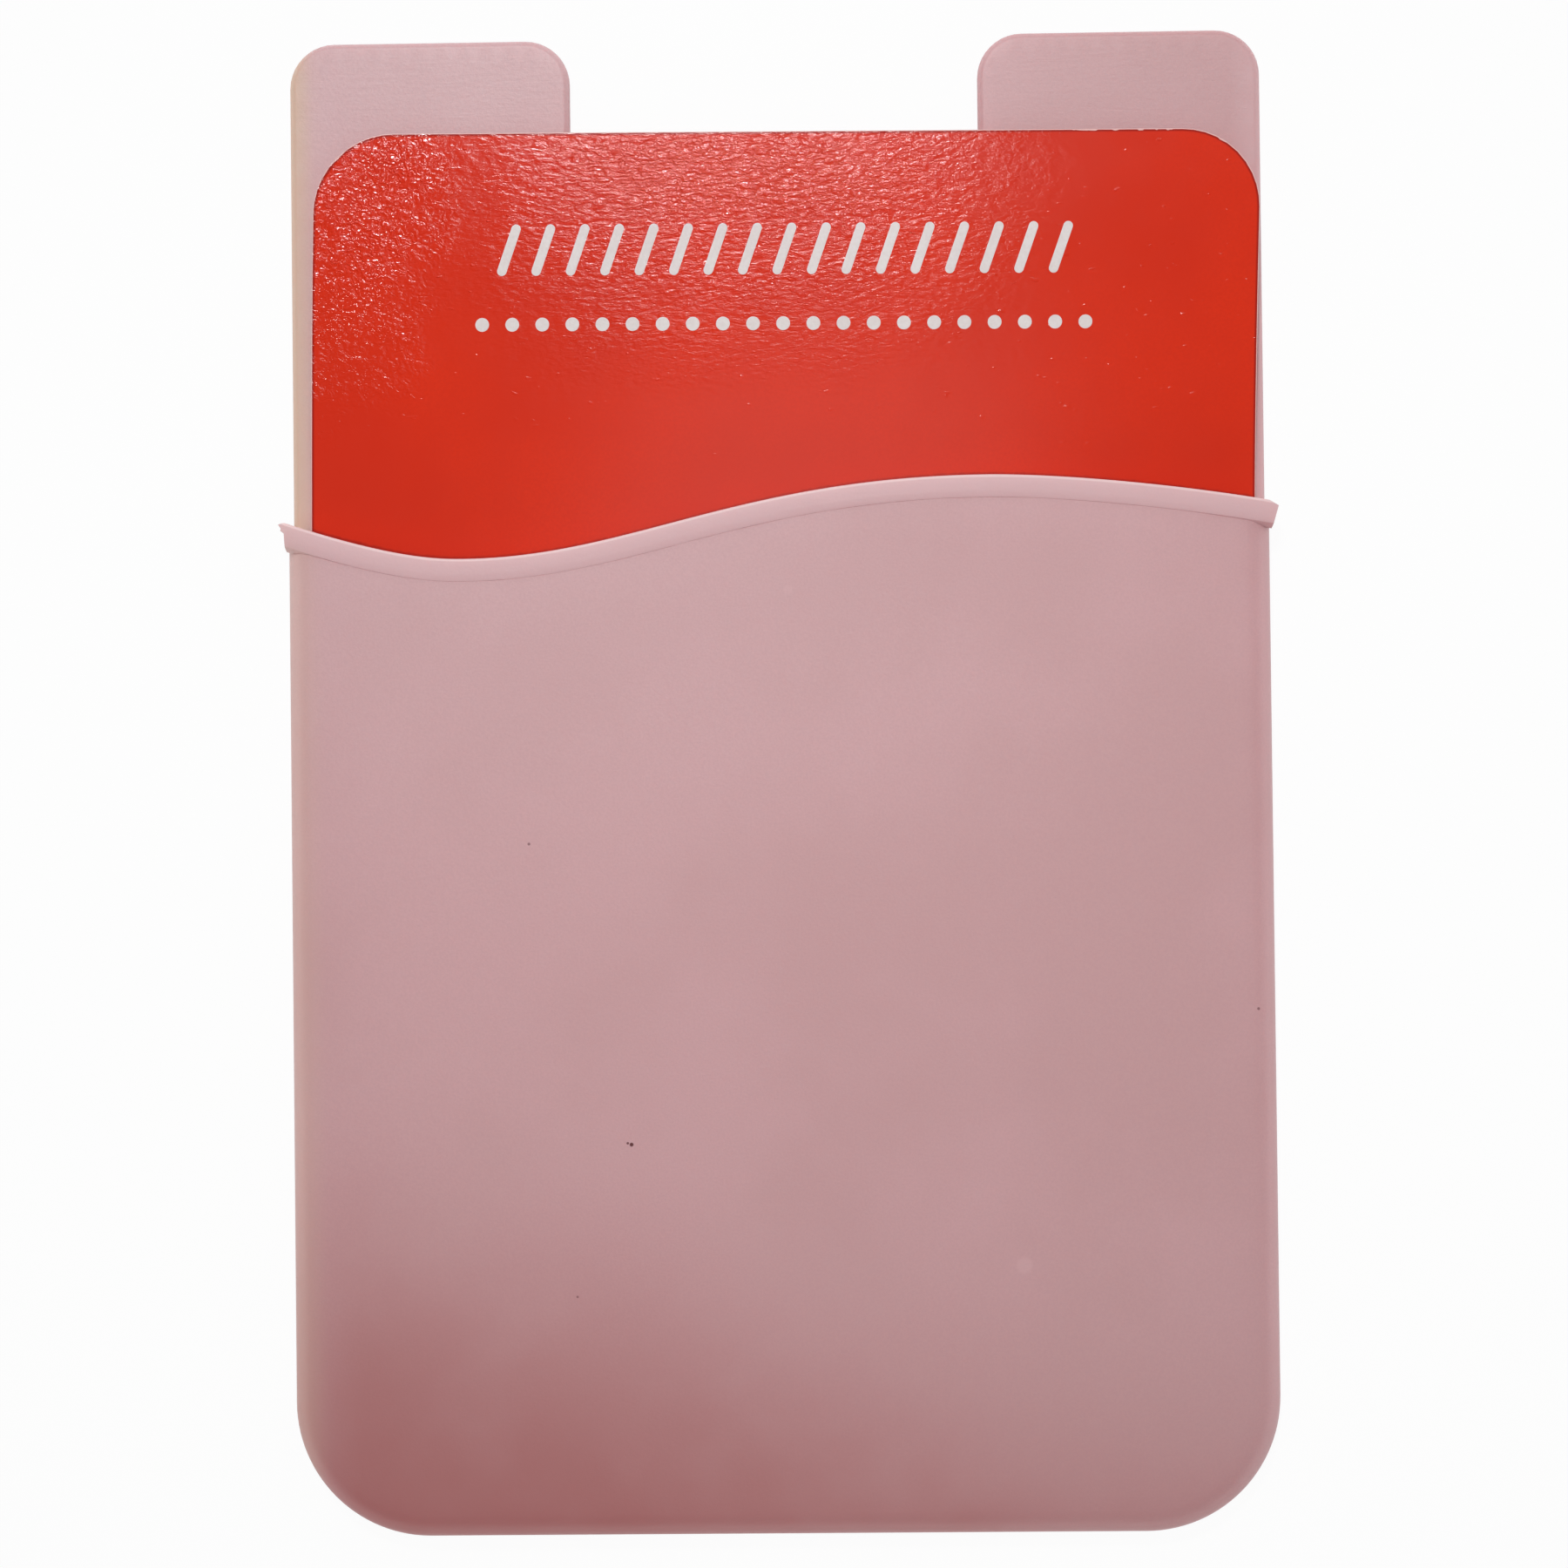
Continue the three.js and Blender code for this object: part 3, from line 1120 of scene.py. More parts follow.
class GeometryTree:
    """A Geometry Nodes tree under construction, with named inputs."""

    def __init__(self, name: str) -> None:
        self.tree = bpy.data.node_groups.new(name, "GeometryNodeTree")
        self.tree.interface.new_socket("Geometry", in_out="INPUT", socket_type="NodeSocketGeometry")
        self.tree.interface.new_socket("Geometry", in_out="OUTPUT", socket_type="NodeSocketGeometry")
        self.source = self.tree.nodes.new("NodeGroupInput")
        self.values: dict[str, Setting | bpy.types.Object | bpy.types.Material] = {}

    def input(self, name: str, kind: str, value: Setting) -> bpy.types.NodeSocket:
        """Adds a named input.

        Args:
            name: What the input sets.
            kind: Its socket's type, such as Float or Material.
            value: What the modifier sets it to.

        Returns:
            The socket that gives the input inside the tree.
        """
        self.tree.interface.new_socket(name, in_out="INPUT", socket_type=f"NodeSocket{kind}")
        self.values[name] = value
        return self.source.outputs[name]

    def number(self, name: str, value: float) -> Value:
        """Adds a named number that is set in millimetres and worked with as it is."""
        return Value(self.tree, self.input(name, "Float", value))

    def add(
        self,
        kind: str,
        settings: dict[str, Setting] | None = None,
        inputs: dict[str | int, Source] | None = None,
    ) -> bpy.types.Node:
        """Adds any node, as add_node does."""
        return add_node(self.tree, kind, settings, inputs)

    def place(self) -> tuple[Value, Value, Value]:
        """The X, Y and Z of the point that is worked on, in millimetres."""
        at = self.add("GeometryNodeInputPosition")
        split = self.add("ShaderNodeSeparateXYZ", inputs={0: at.outputs[0]})
        x, y, z = (Value(self.tree, out) / MM for out in split.outputs)
        return x, y, z

    def moved(
        self, geometry: bpy.types.NodeSocket, x: Value | float, y: Value | float, z: Value | float
    ) -> bpy.types.NodeSocket:
        """Every point set to a new place in millimetres.

        Args:
            geometry: What is moved.
            x: The new X.
            y: The new Y.
            z: The new Z.

        Returns:
            The moved geometry.
        """
        parts = {i: v * MM if isinstance(v, (Value, float)) else v for i, v in enumerate((x, y, z))}
        place = self.add("ShaderNodeCombineXYZ", inputs=parts)
        node = self.add(
            "GeometryNodeSetPosition", inputs={"Geometry": geometry, "Position": place.outputs[0]}
        )
        return node.outputs[0]

    def thickened(
        self, flat: bpy.types.NodeSocket, thickness: Value | float, weld: float
    ) -> bpy.types.NodeSocket:
        """A flat mesh raised into a closed sheet.

        Args:
            flat: The mesh.
            thickness: How thick the sheet becomes, in millimetres.
            weld: How near points are, in metres, that become one.

        Returns:
            The closed sheet.
        """
        up = self.add("ShaderNodeCombineXYZ", inputs={2: thickness * MM})
        raised = self.add(
            "GeometryNodeExtrudeMesh",
            {"mode": "FACES"},
            {"Mesh": flat, "Offset": up.outputs[0], "Individual": False},
        )
        under = self.add("GeometryNodeFlipFaces", inputs={0: flat})
        both = self.add("GeometryNodeJoinGeometry")
        self.tree.links.new(raised.outputs["Mesh"], both.inputs[0])
        self.tree.links.new(under.outputs[0], both.inputs[0])
        closed = self.add(
            "GeometryNodeMergeByDistance", inputs={"Geometry": both.outputs[0], "Distance": weld}
        )
        return closed.outputs[0]

    def close(self, geometry: bpy.types.NodeSocket, material: bpy.types.Material) -> None:
        """Ends the tree with plain geometry in one material.

        Args:
            geometry: The last geometry socket.
            material: The material that everything wears.
        """
        real = self.add("GeometryNodeRealizeInstances", inputs={0: geometry})
        worn = self.input("Material", "Material", material)
        dressed = self.add(
            "GeometryNodeSetMaterial", inputs={"Geometry": real.outputs[0], "Material": worn}
        )
        self.add("NodeGroupOutput", inputs={"Geometry": dressed.outputs[0]})

    def run(self, name: str, base: bpy.types.ID) -> bpy.types.Object:
        """Runs the tree on a mesh or curve and returns the result as a plain mesh object.

        Args:
            name: The result's name.
            base: The mesh or curve data that the tree starts from.

        Returns:
            The finished object.
        """
        piece = new_object(name, base)
        modifier = piece.modifiers.new("nodes", "NODES")
        modifier.node_group = self.tree
        for item in self.tree.interface.items_tree:
            if item.in_out == "INPUT" and item.name in self.values:
                modifier[item.identifier] = self.values[item.name]
        return applied(piece)


def line_curve(name: str, points: np.ndarray, closed: bool = False) -> bpy.types.Curve:
    """A poly curve through points in millimetres.

    Args:
        name: The curve's name.
        points: The points (x, y), one row each.
        closed: Whether the last point joins the first.

    Returns:
        The curve data.
    """
    curve = bpy.data.curves.new(name, "CURVE")
    curve.dimensions = "3D"
    spline = curve.splines.new("POLY")
    spline.points.add(len(points) - 1)
    for place, (x, y) in zip(spline.points, (points * MM).tolist()):
        place.co = (x, y, 0.0, 1.0)
    spline.use_cyclic_u = closed
    return curve


def smooth(piece: bpy.types.Object, sharp_degrees: float) -> None:
    """Shades a piece smooth, apart from edges sharper than an angle.

    Args:
        piece: The piece.
        sharp_degrees: The angle from which an edge stays sharp.
    """
    piece.data.shade_smooth()
    piece.data.set_sharp_from_angle(angle=math.radians(sharp_degrees))
    weighted = piece.modifiers.new("weighted", "WEIGHTED_NORMAL")
    weighted.keep_sharp = True
    weighted.weight = 80


@dataclass
class SiliconeMoulding:
    """The holder itself: plate, ears, pocket and lip, joined into one closed moulding."""

    sizes: HolderSizes = field(default_factory=HolderSizes)
    mouth: MouthWave = field(default_factory=MouthWave)
    finish: SiliconeFinish = field(default_factory=SiliconeFinish)

    def plate(self) -> bpy.types.Object:
        """The back plate with its ears and the notch between them."""
        s = self.sizes
        notch_side = s.plate_side - s.ear_width
        notch_floor = s.ear_top - s.notch_depth
        outline = Outline(
            [
                (-s.plate_side, s.foot, s.foot_radius),
                (s.plate_side, s.foot, s.foot_radius),
                (s.plate_side, s.ear_top, s.ear_radius),
                (notch_side, s.ear_top, s.ear_radius),
                (notch_side, notch_floor, s.notch_radius),
                (-notch_side, notch_floor, s.notch_radius),
                (-notch_side, s.ear_top, s.ear_radius),
                (-s.plate_side, s.ear_top, s.ear_radius),
            ]
        )
        return Slab(outline, s.back, s.floor, s.plate_round, s.plate_round).build("plate")

    def crown(self, points: np.ndarray) -> np.ndarray:
        """How far the panel swells over the card and lifts towards the mouth, and not at its edges."""
        s = self.sizes
        across = np.clip(points[:, 0] / s.side, -1, 1)
        middle = (s.foot + self.mouth.trough[1]) / 2
        along = np.clip((points[:, 1] - middle) / (middle - s.foot), -1, 1)
        edge = self.mouth.edge()
        below = np.maximum(np.interp(points[:, 0], edge[:, 0], edge[:, 1]) - points[:, 1], 0.0)
        near_mouth = np.exp(-((below / s.mouth_lift_reach) ** 2)) * (1 - across**s.mouth_lift_fade)
        wobble = sum(
            height * np.sin(per_mm * points[:, 0] + phase) for height, per_mm, phase in s.mouth_wobble
        )
        lift = s.panel_crown * (1 - across**2) * (1 - along**2)
        return lift + near_mouth * (s.mouth_lift + wobble)

    def beyond(self, name: str, inset: float, low: float, high: float) -> bpy.types.Object:
        """A block over everything on the ears' side of the mouth.

        Args:
            name: The block's name.
            inset: How far it is moved towards the foot.
            low: Its lower face.
            high: Its upper face.

        Returns:
            The closed block.
        """
        edge = self.mouth.edge() - np.array((0.0, inset))
        far = 2 * self.sizes.ear_top
        loop = np.vstack([edge, [(edge[-1][0], far), (edge[0][0], far)]])
        return prism(name, loop, low, high)

    def pocket(self) -> bpy.types.Object:
        """The pocket's walls and panel, open at the mouth, the panel ending under the lip."""
        s = self.sizes
        outer = rectangle(s.side, s.foot, s.ear_top, s.foot_radius, s.ear_radius)
        inner = rectangle(
            s.side - s.wall,
            s.foot + s.wall,
            s.ear_top + 2 * s.clear,
            s.foot_radius - s.wall,
            s.ear_radius,
        )
        block = Slab(
            outer, s.back, s.front, s.plate_round, s.panel_round, grid=s.fine_grid, lift=self.crown
        )
        cavity = Slab(inner, s.floor, s.ceiling, 0.0, s.gap_round, grid=s.coarse_grid)
        shell = joined(block.build("pocket"), Join.CUT, cavity.build("cavity"))
        over_walls = self.beyond("over_walls", 0.0, s.back - s.clear, s.ceiling)
        over_panel = self.beyond(
            "over_panel", s.lip_width / 2, s.ceiling - s.overlap / 2, s.lip_top + s.clear
        )
        shell = joined(shell, Join.CUT, over_walls)
        return joined(shell, Join.CUT, over_panel)

    def lip_section(self) -> np.ndarray:
        """The lip's section: a round nose at the mouth, a flat face and a soft step to the panel.

        Returns:
            Points (inward from the mouth's edge, depth under the panel's underside, so negative).
        """
        s = self.sizes
        top = s.panel + s.lip_rise
        nose = s.lip_nose
        quarter = np.linspace(0, math.pi / 2, s.lip_nose_steps + 1)
        under = [
            (nose - nose * math.sin(a), nose - nose * math.cos(a) - s.overlap) for a in quarter
        ]
        over = [(nose - nose * math.cos(a), top - nose + nose * math.sin(a)) for a in quarter]
        step = [(s.lip_width + on, top - down) for on, down in s.lip_step]
        buried = [(s.lip_width + s.lip_root, s.lip_root), (s.lip_width / 2 + 0.1, -s.overlap)]
        return np.array([*under, *over, *step, *buried]) * (1.0, -1.0)

    def lip(self) -> bpy.types.Object:
        """The lip, swept along the mouth and trimmed at its uneven ends."""
        s = self.sizes
        section = new_object("lip_section", line_curve("lip_section", self.lip_section(), True))
        tree = GeometryTree("lip_sweep")
        lift = tree.number("Height", s.ceiling)
        normal = tree.add(
            "GeometryNodeSetCurveNormal",
            {"mode": "Z_UP"},
            {"Curve": tree.source.outputs["Geometry"]},
        )
        profile = tree.add(
            "GeometryNodeObjectInfo", inputs={"Object": tree.input("Section", "Object", section)}
        )
        sweep = tree.add(
            "GeometryNodeCurveToMesh",
            inputs={
                "Curve": normal.outputs[0],
                "Profile Curve": profile.outputs["Geometry"],
                "Fill Caps": True,
            },
        )
        x, y, z = tree.place()
        raised = tree.moved(sweep.outputs[0], x, y, z + lift)
        tree.close(raised, bpy.data.materials.new("lip_blank"))
        made = tree.run("lip", line_curve("mouth_edge", self.mouth.edge()))
        discard(section)
        return joined(made, Join.KEEP, self.lip_ends())

    def lip_ends(self) -> bpy.types.Object:
        """The block that the lip is trimmed to: a ragged flash on the left, a corner on the right."""
        s = self.sizes
        loop = np.array(
            [
                (-s.side + 0.1, 11.5),
                (s.side - 0.1, 12.5),
                (s.side + 0.03, 14.2),
                (s.side + s.lip_overhang, 15.58),
                (s.plate_side, 15.97),
                (s.plate_side - 1.2, 19.5),
                (-s.plate_side + 1.2, 19.5),
                (-s.plate_side + 0.1, 15.32),
                (-s.side - 0.22, 15.30),
                (-s.side - s.lip_overhang, 15.22),
                (-s.side - 0.26, 14.98),
                (-s.side - 0.3, 14.86),
                (-s.side - 0.1, 14.70),
                (-s.side - 0.05, 13.9),
            ]
        )
        return prism("lip_ends", loop, 0.0, s.lip_top + s.clear)

    def build(self) -> bpy.types.Object:
        """Joins the pieces, smooths the moulding and dresses it."""
        body = joined(self.pocket(), Join.ADD, self.plate())
        body = joined(body, Join.ADD, self.lip())
        body.name = body.data.name = "silicone_body"
        smooth(body, self.sizes.sharp_degrees)
        s = self.sizes
        body.data.materials.clear()
        body.data.materials.append(self.finish.material(s.plate_side, self.mouth, s.lip_top))
        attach(body, BODY)
        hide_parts("silicone_holder")
        return body


@dataclass
class RoundedSheet:
    """A flat sheet with round corners, meshed as one even net."""

    name: str
    side: float
    bottom: float
    top: float
    radius: float
    low: float
    thickness: float
    net: float = 0.9
    cut_edge: float = 0.04
    bevelled_degrees: float = 50.0
    sharp_degrees: float = 40.0
    weld: float = 1e-6

    def tree(
        self, material: bpy.types.Material, card: CardSizes | None = None
    ) -> GeometryTree:
        """Builds the sheet's tree.

        Args:
            material: What the sheet wears.
            card: The card whose bow and lean it takes, or None for a sheet that lies flat.

        Returns:
            The tree, ready to run.
        """
        tree = GeometryTree(self.name)
        half_width = tree.number("Half Width", self.side)
        half_length = tree.number("Half Length", (self.top - self.bottom) / 2)
        middle = tree.number("Middle", (self.top + self.bottom) / 2)
        radius = tree.number("Radius", self.radius)
        low = tree.number("Low", self.low)
        thickness = tree.number("Thickness", self.thickness)
        net = tree.add(
            "GeometryNodeMeshGrid",
            inputs={
                "Size X": half_width * (2 * MM),
                "Size Y": half_length * (2 * MM),
                "Vertices X": round(2 * self.side / self.net),
                "Vertices Y": round((self.top - self.bottom) / self.net),
            },
        )
        x, y, _ = tree.place()
        past_x = (abs(x) - (half_width - radius)).most(0.0)
        past_y = (abs(y) - (half_length - radius)).most(0.0)
        twice = radius * radius * 2.0
        round_x = past_x * (1.0 - past_y * past_y / twice).math("SQRT")
        round_y = past_y * (1.0 - past_x * past_x / twice).math("SQRT")
        from_edge = (half_width - abs(x)).least(half_length - abs(y))
        at_corner = radius - (round_x * round_x + round_y * round_y).math("SQRT")
        in_corner = past_x.least(past_y).math("GREATER_THAN", 0.0)
        rim = from_edge * (1.0 - in_corner) + at_corner * in_corner
        marked = tree.add(
            "GeometryNodeStoreNamedAttribute",
            {"data_type": "FLOAT", "domain": "POINT"},
            {"Geometry": net.outputs["Mesh"], "Name": "rim", "Value": rim},
        )
        new_x = x.math("SIGN") * (abs(x) - past_x + round_x)
        new_y = y.math("SIGN") * (abs(y) - past_y + round_y) + middle
        flat = tree.moved(marked.outputs[0], new_x, new_y, low)
        geometry = tree.thickened(flat, thickness, self.weld)
        if card:
            geometry = leaned(tree, bowed(tree, geometry, card), card)
        tree.close(geometry, material)
        return tree

    def build(
        self, material: bpy.types.Material, card: CardSizes | None = None
    ) -> bpy.types.Object:
        """Builds the sheet and rounds its cut edge a little.

        Args:
            material: What the sheet wears.
            card: The card whose bow and lean it takes, or None.

        Returns:
            The sheet's object.
        """
        sheet = self.tree(material, card).run(self.name, bpy.data.meshes.new(self.name))
        edge = sheet.modifiers.new("cut_edge", "BEVEL")
        edge.width = self.cut_edge * MM
        edge.segments = 2
        edge.limit_method = "ANGLE"
        edge.angle_limit = math.radians(self.bevelled_degrees)
        smooth(sheet, self.sharp_degrees)
        return sheet


def bowed(
    tree: GeometryTree, geometry: bpy.types.NodeSocket, card: CardSizes
) -> bpy.types.NodeSocket:
    """Eases the card's free end off the plate in a soft S, and curls its upper left corner up.

    Args:
        tree: The tree that is worked in.
        geometry: What is bowed, in the card's own straight place.
        card: The card's sizes.

    Returns:
        The bowed geometry.
    """
    start = tree.number("Bow Start", card.top - card.free_length)
    free = tree.number("Free Length", card.free_length)
    rise = tree.number("Rise", card.rise)
    skew = tree.number("Skew", card.skew)
    x, y, z = tree.place()
    curl = tree.number("Curl", card.curl)
    from_left = (x + (card.side - card.curl_reach[0])) / (-card.curl_reach[0])
    from_top = (y - (card.top - card.curl_reach[1])) / card.curl_reach[1]
    left_share = from_left.most(0.0)
    curled = left_share * left_share * from_top.rise(0.0, 1.0) * curl
    share = ((y - start) / free).most(0.0)
    lifted = share.rise(0.0, 1.0) * rise
    return tree.moved(geometry, x + share * share * skew, y, z + lifted + curled)


def leaned(
    tree: GeometryTree, geometry: bpy.types.NodeSocket, card: CardSizes
) -> bpy.types.NodeSocket:
    """Turns the card about the middle of the pocket.

    Args:
        tree: The tree that is worked in.
        geometry: What is turned.
        card: The card's sizes.

    Returns:
        The turned geometry.
    """
    pivot = tree.number("Pivot", card.pivot_y)
    lean = math.radians(card.lean_degrees)
    x, y, z = tree.place()
    from_pivot = y - pivot
    return tree.moved(
        geometry,
        x * math.cos(lean) - from_pivot * math.sin(lean),
        x * math.sin(lean) + from_pivot * math.cos(lean) + pivot,
        z,
    )


@dataclass(frozen=True)
class PrintRow:
    """A row of like ink marks across the card: slanted strokes, or dots if they are as long as wide."""

    name: str
    count: int
    pitch: float
    stroke_length: float
    stroke_width: float
    slant_degrees: float
    height: float


@dataclass
class InsertCard:
    """The printed card in the pocket, with its plain rows of ink marks."""

    sizes: CardSizes = field(default_factory=CardSizes)
    mouth: MouthWave = field(default_factory=MouthWave)
    finish: PrintedCardFinish = field(default_factory=PrintedCardFinish)
    ink: SheetFinish = WHITE_INK
    ink_thickness: float = 0.02
    stroke_round: float = 0.499
    round_steps: int = 7
    weld: float = 1e-7
    rows: tuple[PrintRow, ...] = (
        PrintRow("card_strokes", 17, 2.0, 3.1, 0.55, -18.0, 30.9),
        PrintRow("card_dots", 21, 1.75, 0.8, 0.8, 0.0, 26.6),
    )

    def marks(self, row: PrintRow, ink: bpy.types.Material) -> bpy.types.Object:
        """One row of ink marks, lying on the card's face.

        Args:
            row: What the marks are like and where they run.
            ink: What they wear.

        Returns:
            The row's object.
        """
        card = self.sizes
        tree = GeometryTree(row.name)
        pitch = tree.number("Pitch", row.pitch)
        count = tree.input("Count", "Int", row.count)
        length = tree.number("Stroke Length", row.stroke_length)
        width = tree.number("Stroke Width", row.stroke_width)
        slant = tree.number("Slant", math.radians(row.slant_degrees))
        height = tree.number("Row Height", row.height)
        outline = tree.add(
            "GeometryNodeCurvePrimitiveQuadrilateral",
            {"mode": "RECTANGLE"},
            {"Width": width * MM, "Height": length * MM},
        )
        rounded = tree.add(
            "GeometryNodeFilletCurve",
            {"mode": "POLY"},
            {
                "Curve": outline.outputs[0],
                "Radius": width * (self.stroke_round * MM),
                "Count": self.round_steps,
            },
        )
        face = tree.add("GeometryNodeFillCurve", inputs={"Curve": rounded.outputs[0]})
        mark = tree.thickened(face.outputs[0], self.ink_thickness, self.weld)
        steps = Value(tree.tree, count) - 1.0
        start = tree.add(
            "ShaderNodeCombineXYZ", inputs={0: steps * pitch * (-0.5 * MM), 1: height * MM}
        )
        step = tree.add("ShaderNodeCombineXYZ", inputs={0: pitch * MM})
        line = tree.add(
            "GeometryNodeMeshLine",
            {"mode": "OFFSET"},
            {"Count": count, "Start Location": start.outputs[0], "Offset": step.outputs[0]},
        )
        turn = tree.add("ShaderNodeCombineXYZ", inputs={2: slant})
        placed = tree.add(
            "GeometryNodeInstanceOnPoints",
            inputs={
                "Points": line.outputs[0],
                "Instance": mark,
                "Rotation": turn.outputs[0],
            },
        )
        real = tree.add("GeometryNodeRealizeInstances", inputs={0: placed.outputs[0]})
        x, y, z = tree.place()
        face_height = card.seat + card.thickness
        laid = tree.moved(real.outputs[0], x, y, z + face_height)
        tree.close(leaned(tree, bowed(tree, laid, card), card), ink)
        return tree.run(row.name, bpy.data.meshes.new(row.name))

    def build(self) -> list[bpy.types.Object]:
        """Builds and dresses the card and its marks.

        Returns:
            The card first, then its rows of marks.
        """
        card = self.sizes
        sheet = RoundedSheet(
            "printed_card", card.side, card.foot, card.top, card.radius, card.seat, card.thickness
        )
        face = sheet.build(self.finish.material(card, self.mouth), card)
        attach(face, BODY)
        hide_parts("insert_card")
        ink = self.ink.material()
        pieces = [face]
        for row in self.rows:
            marks = self.marks(row, ink)
            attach(marks, BODY)
            pieces.append(marks)
        return pieces


@dataclass
class BackSheets:
    """What sticks the holder to a phone: the adhesive sheet and the liner that covers it."""

    sizes: HolderSizes = field(default_factory=HolderSizes)
    margin: float = 2.5
    border: float = 0.6
    liner: float = 0.15

    def sheet(
        self, name: str, margin: float, low: float, thickness: float, finish: SheetFinish
    ) -> bpy.types.Object:
        """One flat sheet on the plate's back.

        Args:
            name: The sheet's name.
            margin: How far it stays inside the plate's edges.
            low: Its lower face.
            thickness: How thick it is.
            finish: What it is made of.

        Returns:
            The sheet's object.
        """
        s = self.sizes
        made = RoundedSheet(
            name,
            s.plate_side - margin,
            s.foot + margin,
            s.ear_top - s.notch_depth - margin,
            s.foot_radius - margin,
            low,
            thickness,
        )
        return made.build(finish.material())

    def build(self) -> list[bpy.types.Object]:
        """Builds both sheets, the liner first."""
        liner = self.sheet("liner_sheet", self.margin - self.border, 0.0, self.liner, LINER_PAPER)
        pad = self.sheet(
            "adhesive_pad", self.margin, self.liner, self.sizes.back - self.liner, ADHESIVE
        )
        for piece, node, slot in (
            (liner, "release_liner", "liner_paper"),
            (pad, "adhesive_sheet", "adhesive"),
        ):
            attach(piece, BODY)
            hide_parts(node)
        return [liner, pad]


class LampKind(Enum):
    """A flat panel, or a spot whose light fades towards the rim of its cone."""

    PANEL = "AREA"
    SPOT = "SPOT"


@dataclass(frozen=True)
class Lamp:
    """A lamp over the holder: its place, what it points at, its size across and its power."""

    name: str
    kind: LampKind
    place: Corner
    aim: Corner
    size: float
    watts: float
    cone_degrees: float = 30.0


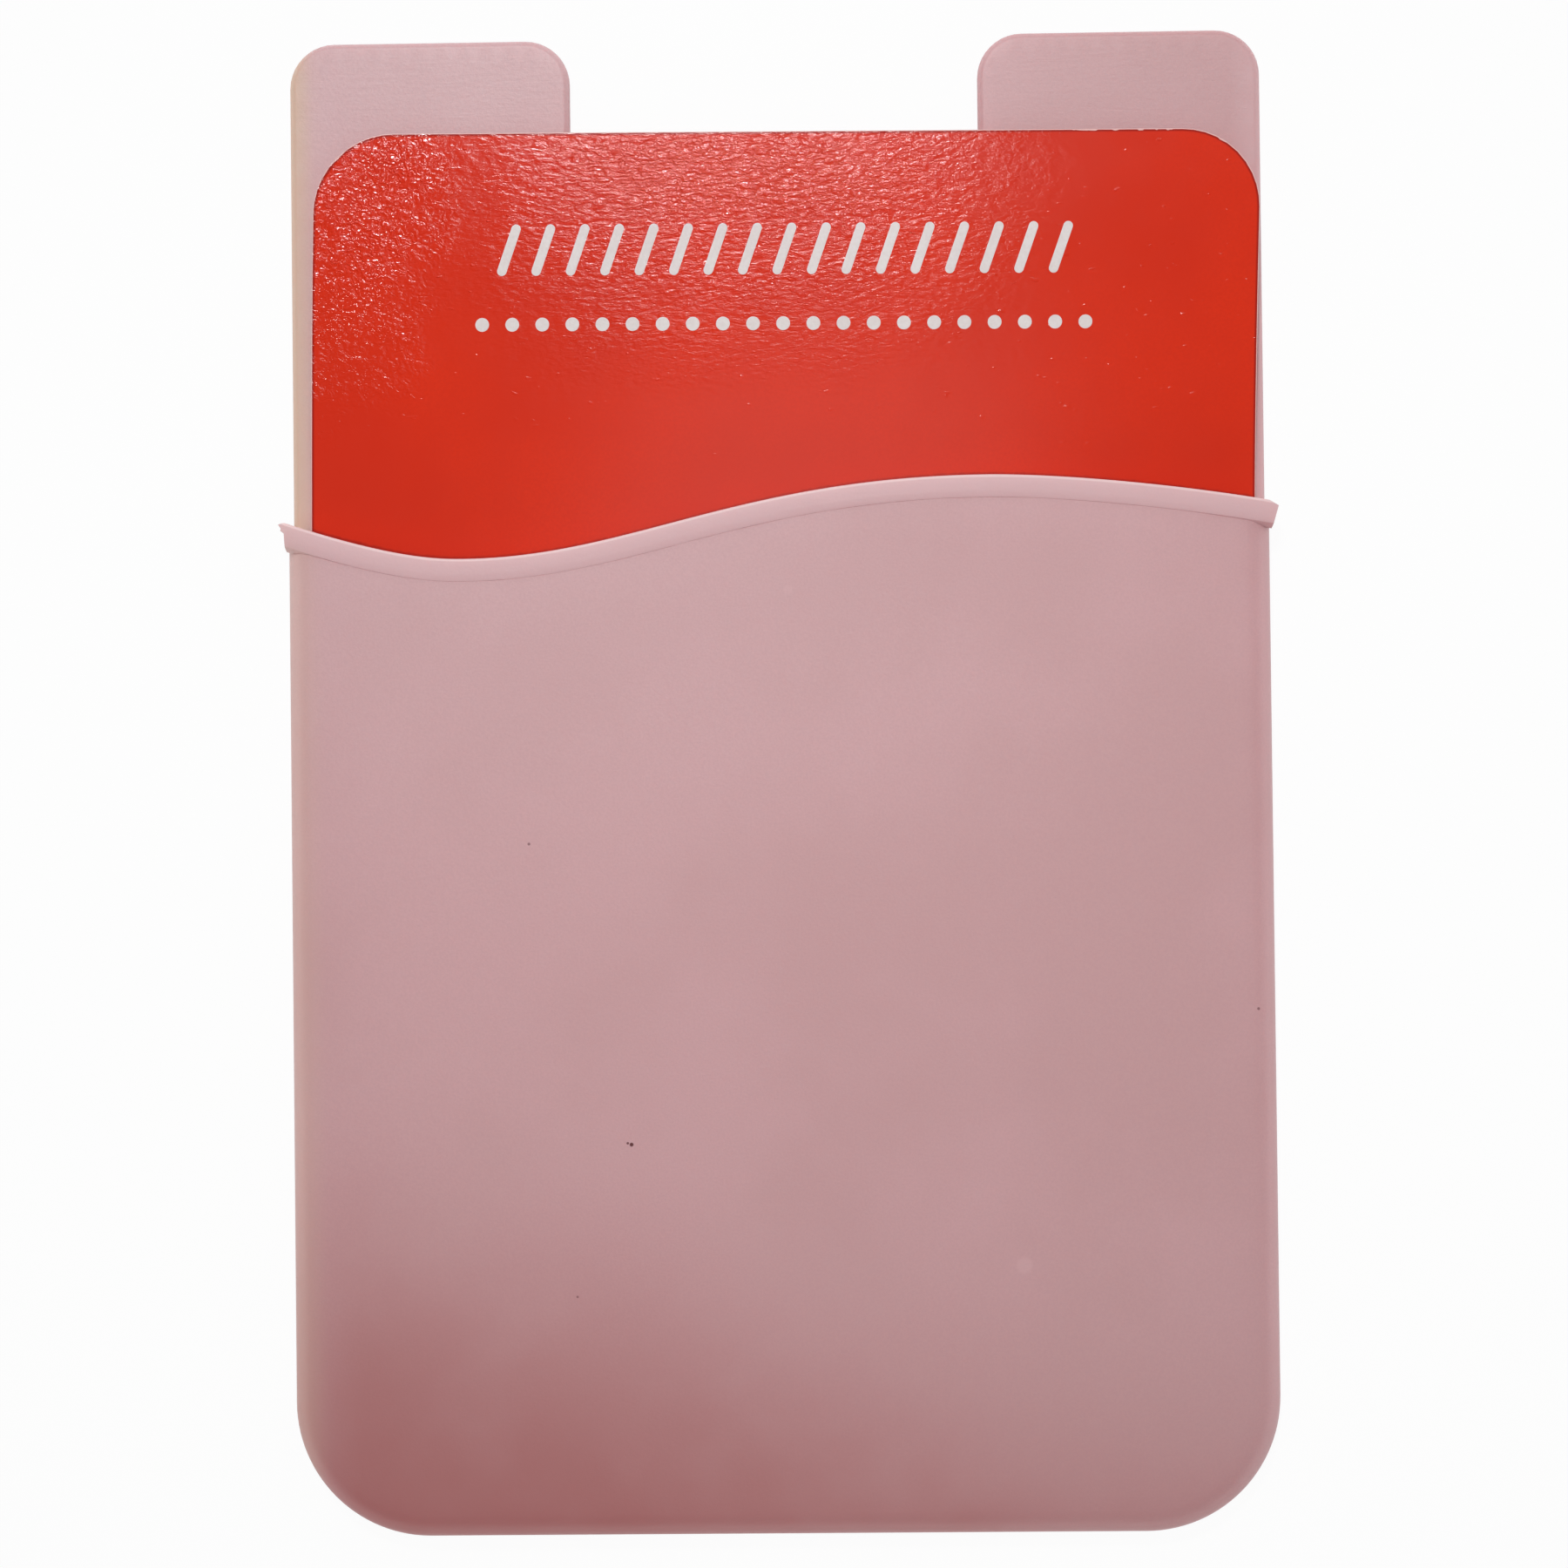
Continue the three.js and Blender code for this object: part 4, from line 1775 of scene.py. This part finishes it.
@dataclass
class Studio:
    """The pale floor, the lamps and the camera that sees the holder as it was photographed."""

    distance: float = 250.0
    pixels_per_mm: float = 19.642
    frame_pixels: float = 1800.0
    sensor: float = 36.0
    tilt_degrees: tuple[float, float, float] = (-1.054, -1.607, 0.656)
    offset: Point = (-0.164, 0.087)
    clip: Point = (0.01, 20.0)
    sky_overhead: float = 0.3
    sky_low: float = 1.6
    horizon: Band = Band(0.5, 0.1)
    underside: Band = Band(-0.02, -0.1)
    floor_half: float = 1500.0
    floor_grey: float = 0.86
    floor_white: float = 0.95
    floor_height: float = 0.05
    lamps: tuple[Lamp, ...] = (
        Lamp("glow", LampKind.PANEL, (-13.0, 92.0, 410.0), (0.0, 0.0, 0.0), 44.0, 0.085),
        Lamp("fill", LampKind.PANEL, (-6.0, 15.0, 410.0), (0.0, 0.0, 0.0), 60.0, 0.012),
        Lamp("key", LampKind.SPOT, (-30.0, 205.0, 410.0), (0.0, 12.0, 0.0), 60.0, 3.6, 23.0),
    )

    def camera(self) -> None:
        """The camera, nearly straight above the holder."""
        data = bpy.data.cameras.new("camera")
        data.sensor_width = self.sensor
        data.lens = self.pixels_per_mm * self.distance * self.sensor / self.frame_pixels
        data.clip_start, data.clip_end = self.clip
        about_x, about_y, about_z = (math.radians(a) for a in self.tilt_degrees)
        seen = Euler((about_x, about_y, about_z), "XYZ").to_matrix()
        back = seen.transposed()
        place = back @ -Vector((*self.offset, -self.distance)) * MM
        camera = bpy.data.objects.new("camera", data)
        camera.matrix_world = Matrix.Translation(place) @ back.to_4x4()
        bpy.context.scene.collection.objects.link(camera)
        bpy.context.scene.camera = camera

    def light(self, lamp: Lamp) -> None:
        """One lamp, turned to what it points at."""
        data = bpy.data.lights.new(lamp.name, lamp.kind.value)
        data.energy = lamp.watts
        if lamp.kind is LampKind.PANEL:
            data.size = lamp.size * MM
        else:
            data.shadow_soft_size = lamp.size / 2 * MM
            data.spot_size = math.radians(lamp.cone_degrees)
            data.spot_blend = 1.0
        source = bpy.data.objects.new(lamp.name, data)
        place = Vector(lamp.place) * MM
        source.location = place
        source.rotation_euler = (Vector(lamp.aim) * MM - place).to_track_quat("-Z", "Y").to_euler()
        bpy.context.scene.collection.objects.link(source)

    def world(self) -> None:
        """A soft world, bright near the horizon and plain white under the floor."""
        world = bpy.data.worlds.new("studio")
        world.use_nodes = True
        tree = world.node_tree
        tree.nodes.clear()
        where = add_node(tree, "ShaderNodeTexCoord")
        split = add_node(tree, "ShaderNodeSeparateXYZ", inputs={0: where.outputs["Generated"]})
        up = Value(tree, split.outputs[2])
        low_down = self.horizon.of(up)
        under = self.underside.of(up)
        strength = low_down * (self.sky_low - self.sky_overhead) + self.sky_overhead
        strength = strength * (1 - under) + under
        sky = add_node(
            tree, "ShaderNodeBackground", inputs={"Color": rgba((1, 1, 1)), "Strength": strength}
        )
        add_node(tree, "ShaderNodeOutputWorld", inputs={"Surface": sky.outputs[0]})
        bpy.context.scene.world = world

    def floor(self) -> None:
        """A wide pale floor that shows as near white and keeps the holder's shadow.

        It lies a hair over the liner's face, so that the two don't share a plane.
        """
        half, height = self.floor_half, self.floor_height
        around = ((-half, -half), (half, -half), (half, half), (-half, half))
        corners = np.array([(x, y, height) for x, y in around])
        floor = mesh_object("floor", corners, [(0, 1, 2, 3)])
        surface = Surface("floor")
        tree = surface.tree
        grey = (self.floor_grey,) * 3
        lit = add_node(tree, "ShaderNodeBsdfDiffuse", inputs={"Color": rgba(grey)})
        white = add_node(tree, "ShaderNodeEmission", inputs={"Color": rgba((1, 1, 1))})
        path = add_node(tree, "ShaderNodeLightPath")
        rays = ("Is Camera Ray", "Is Glossy Ray", "Is Transmission Ray")
        camera, glossy, through = (Value(tree, path.outputs[ray]) for ray in rays)
        seen = camera.most(glossy).most(through)
        mixed = add_node(
            tree,
            "ShaderNodeMixShader",
            inputs={0: seen * self.floor_white, 1: lit.outputs[0], 2: white.outputs[0]},
        )
        add_node(tree, "ShaderNodeOutputMaterial", inputs={"Surface": mixed.outputs[0]})
        floor.data.materials.append(surface.material)

    def build(self) -> None:
        """Sets up the whole studio."""
        self.camera()
        self.world()
        self.floor()
        for lamp in self.lamps:
            self.light(lamp)
        bpy.context.scene.view_settings.view_transform = "Standard"


def main() -> None:
    """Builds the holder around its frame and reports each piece."""
    logging.basicConfig(level=logging.INFO, format="%(name)s: %(message)s")
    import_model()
    pieces = [SiliconeMoulding().build(), *InsertCard().build(), *BackSheets().build()]
    Studio().build()
    for piece in pieces:
        log.info("%s has %d faces", piece.name, len(piece.data.polygons))


if __name__ == "__main__":
    main()
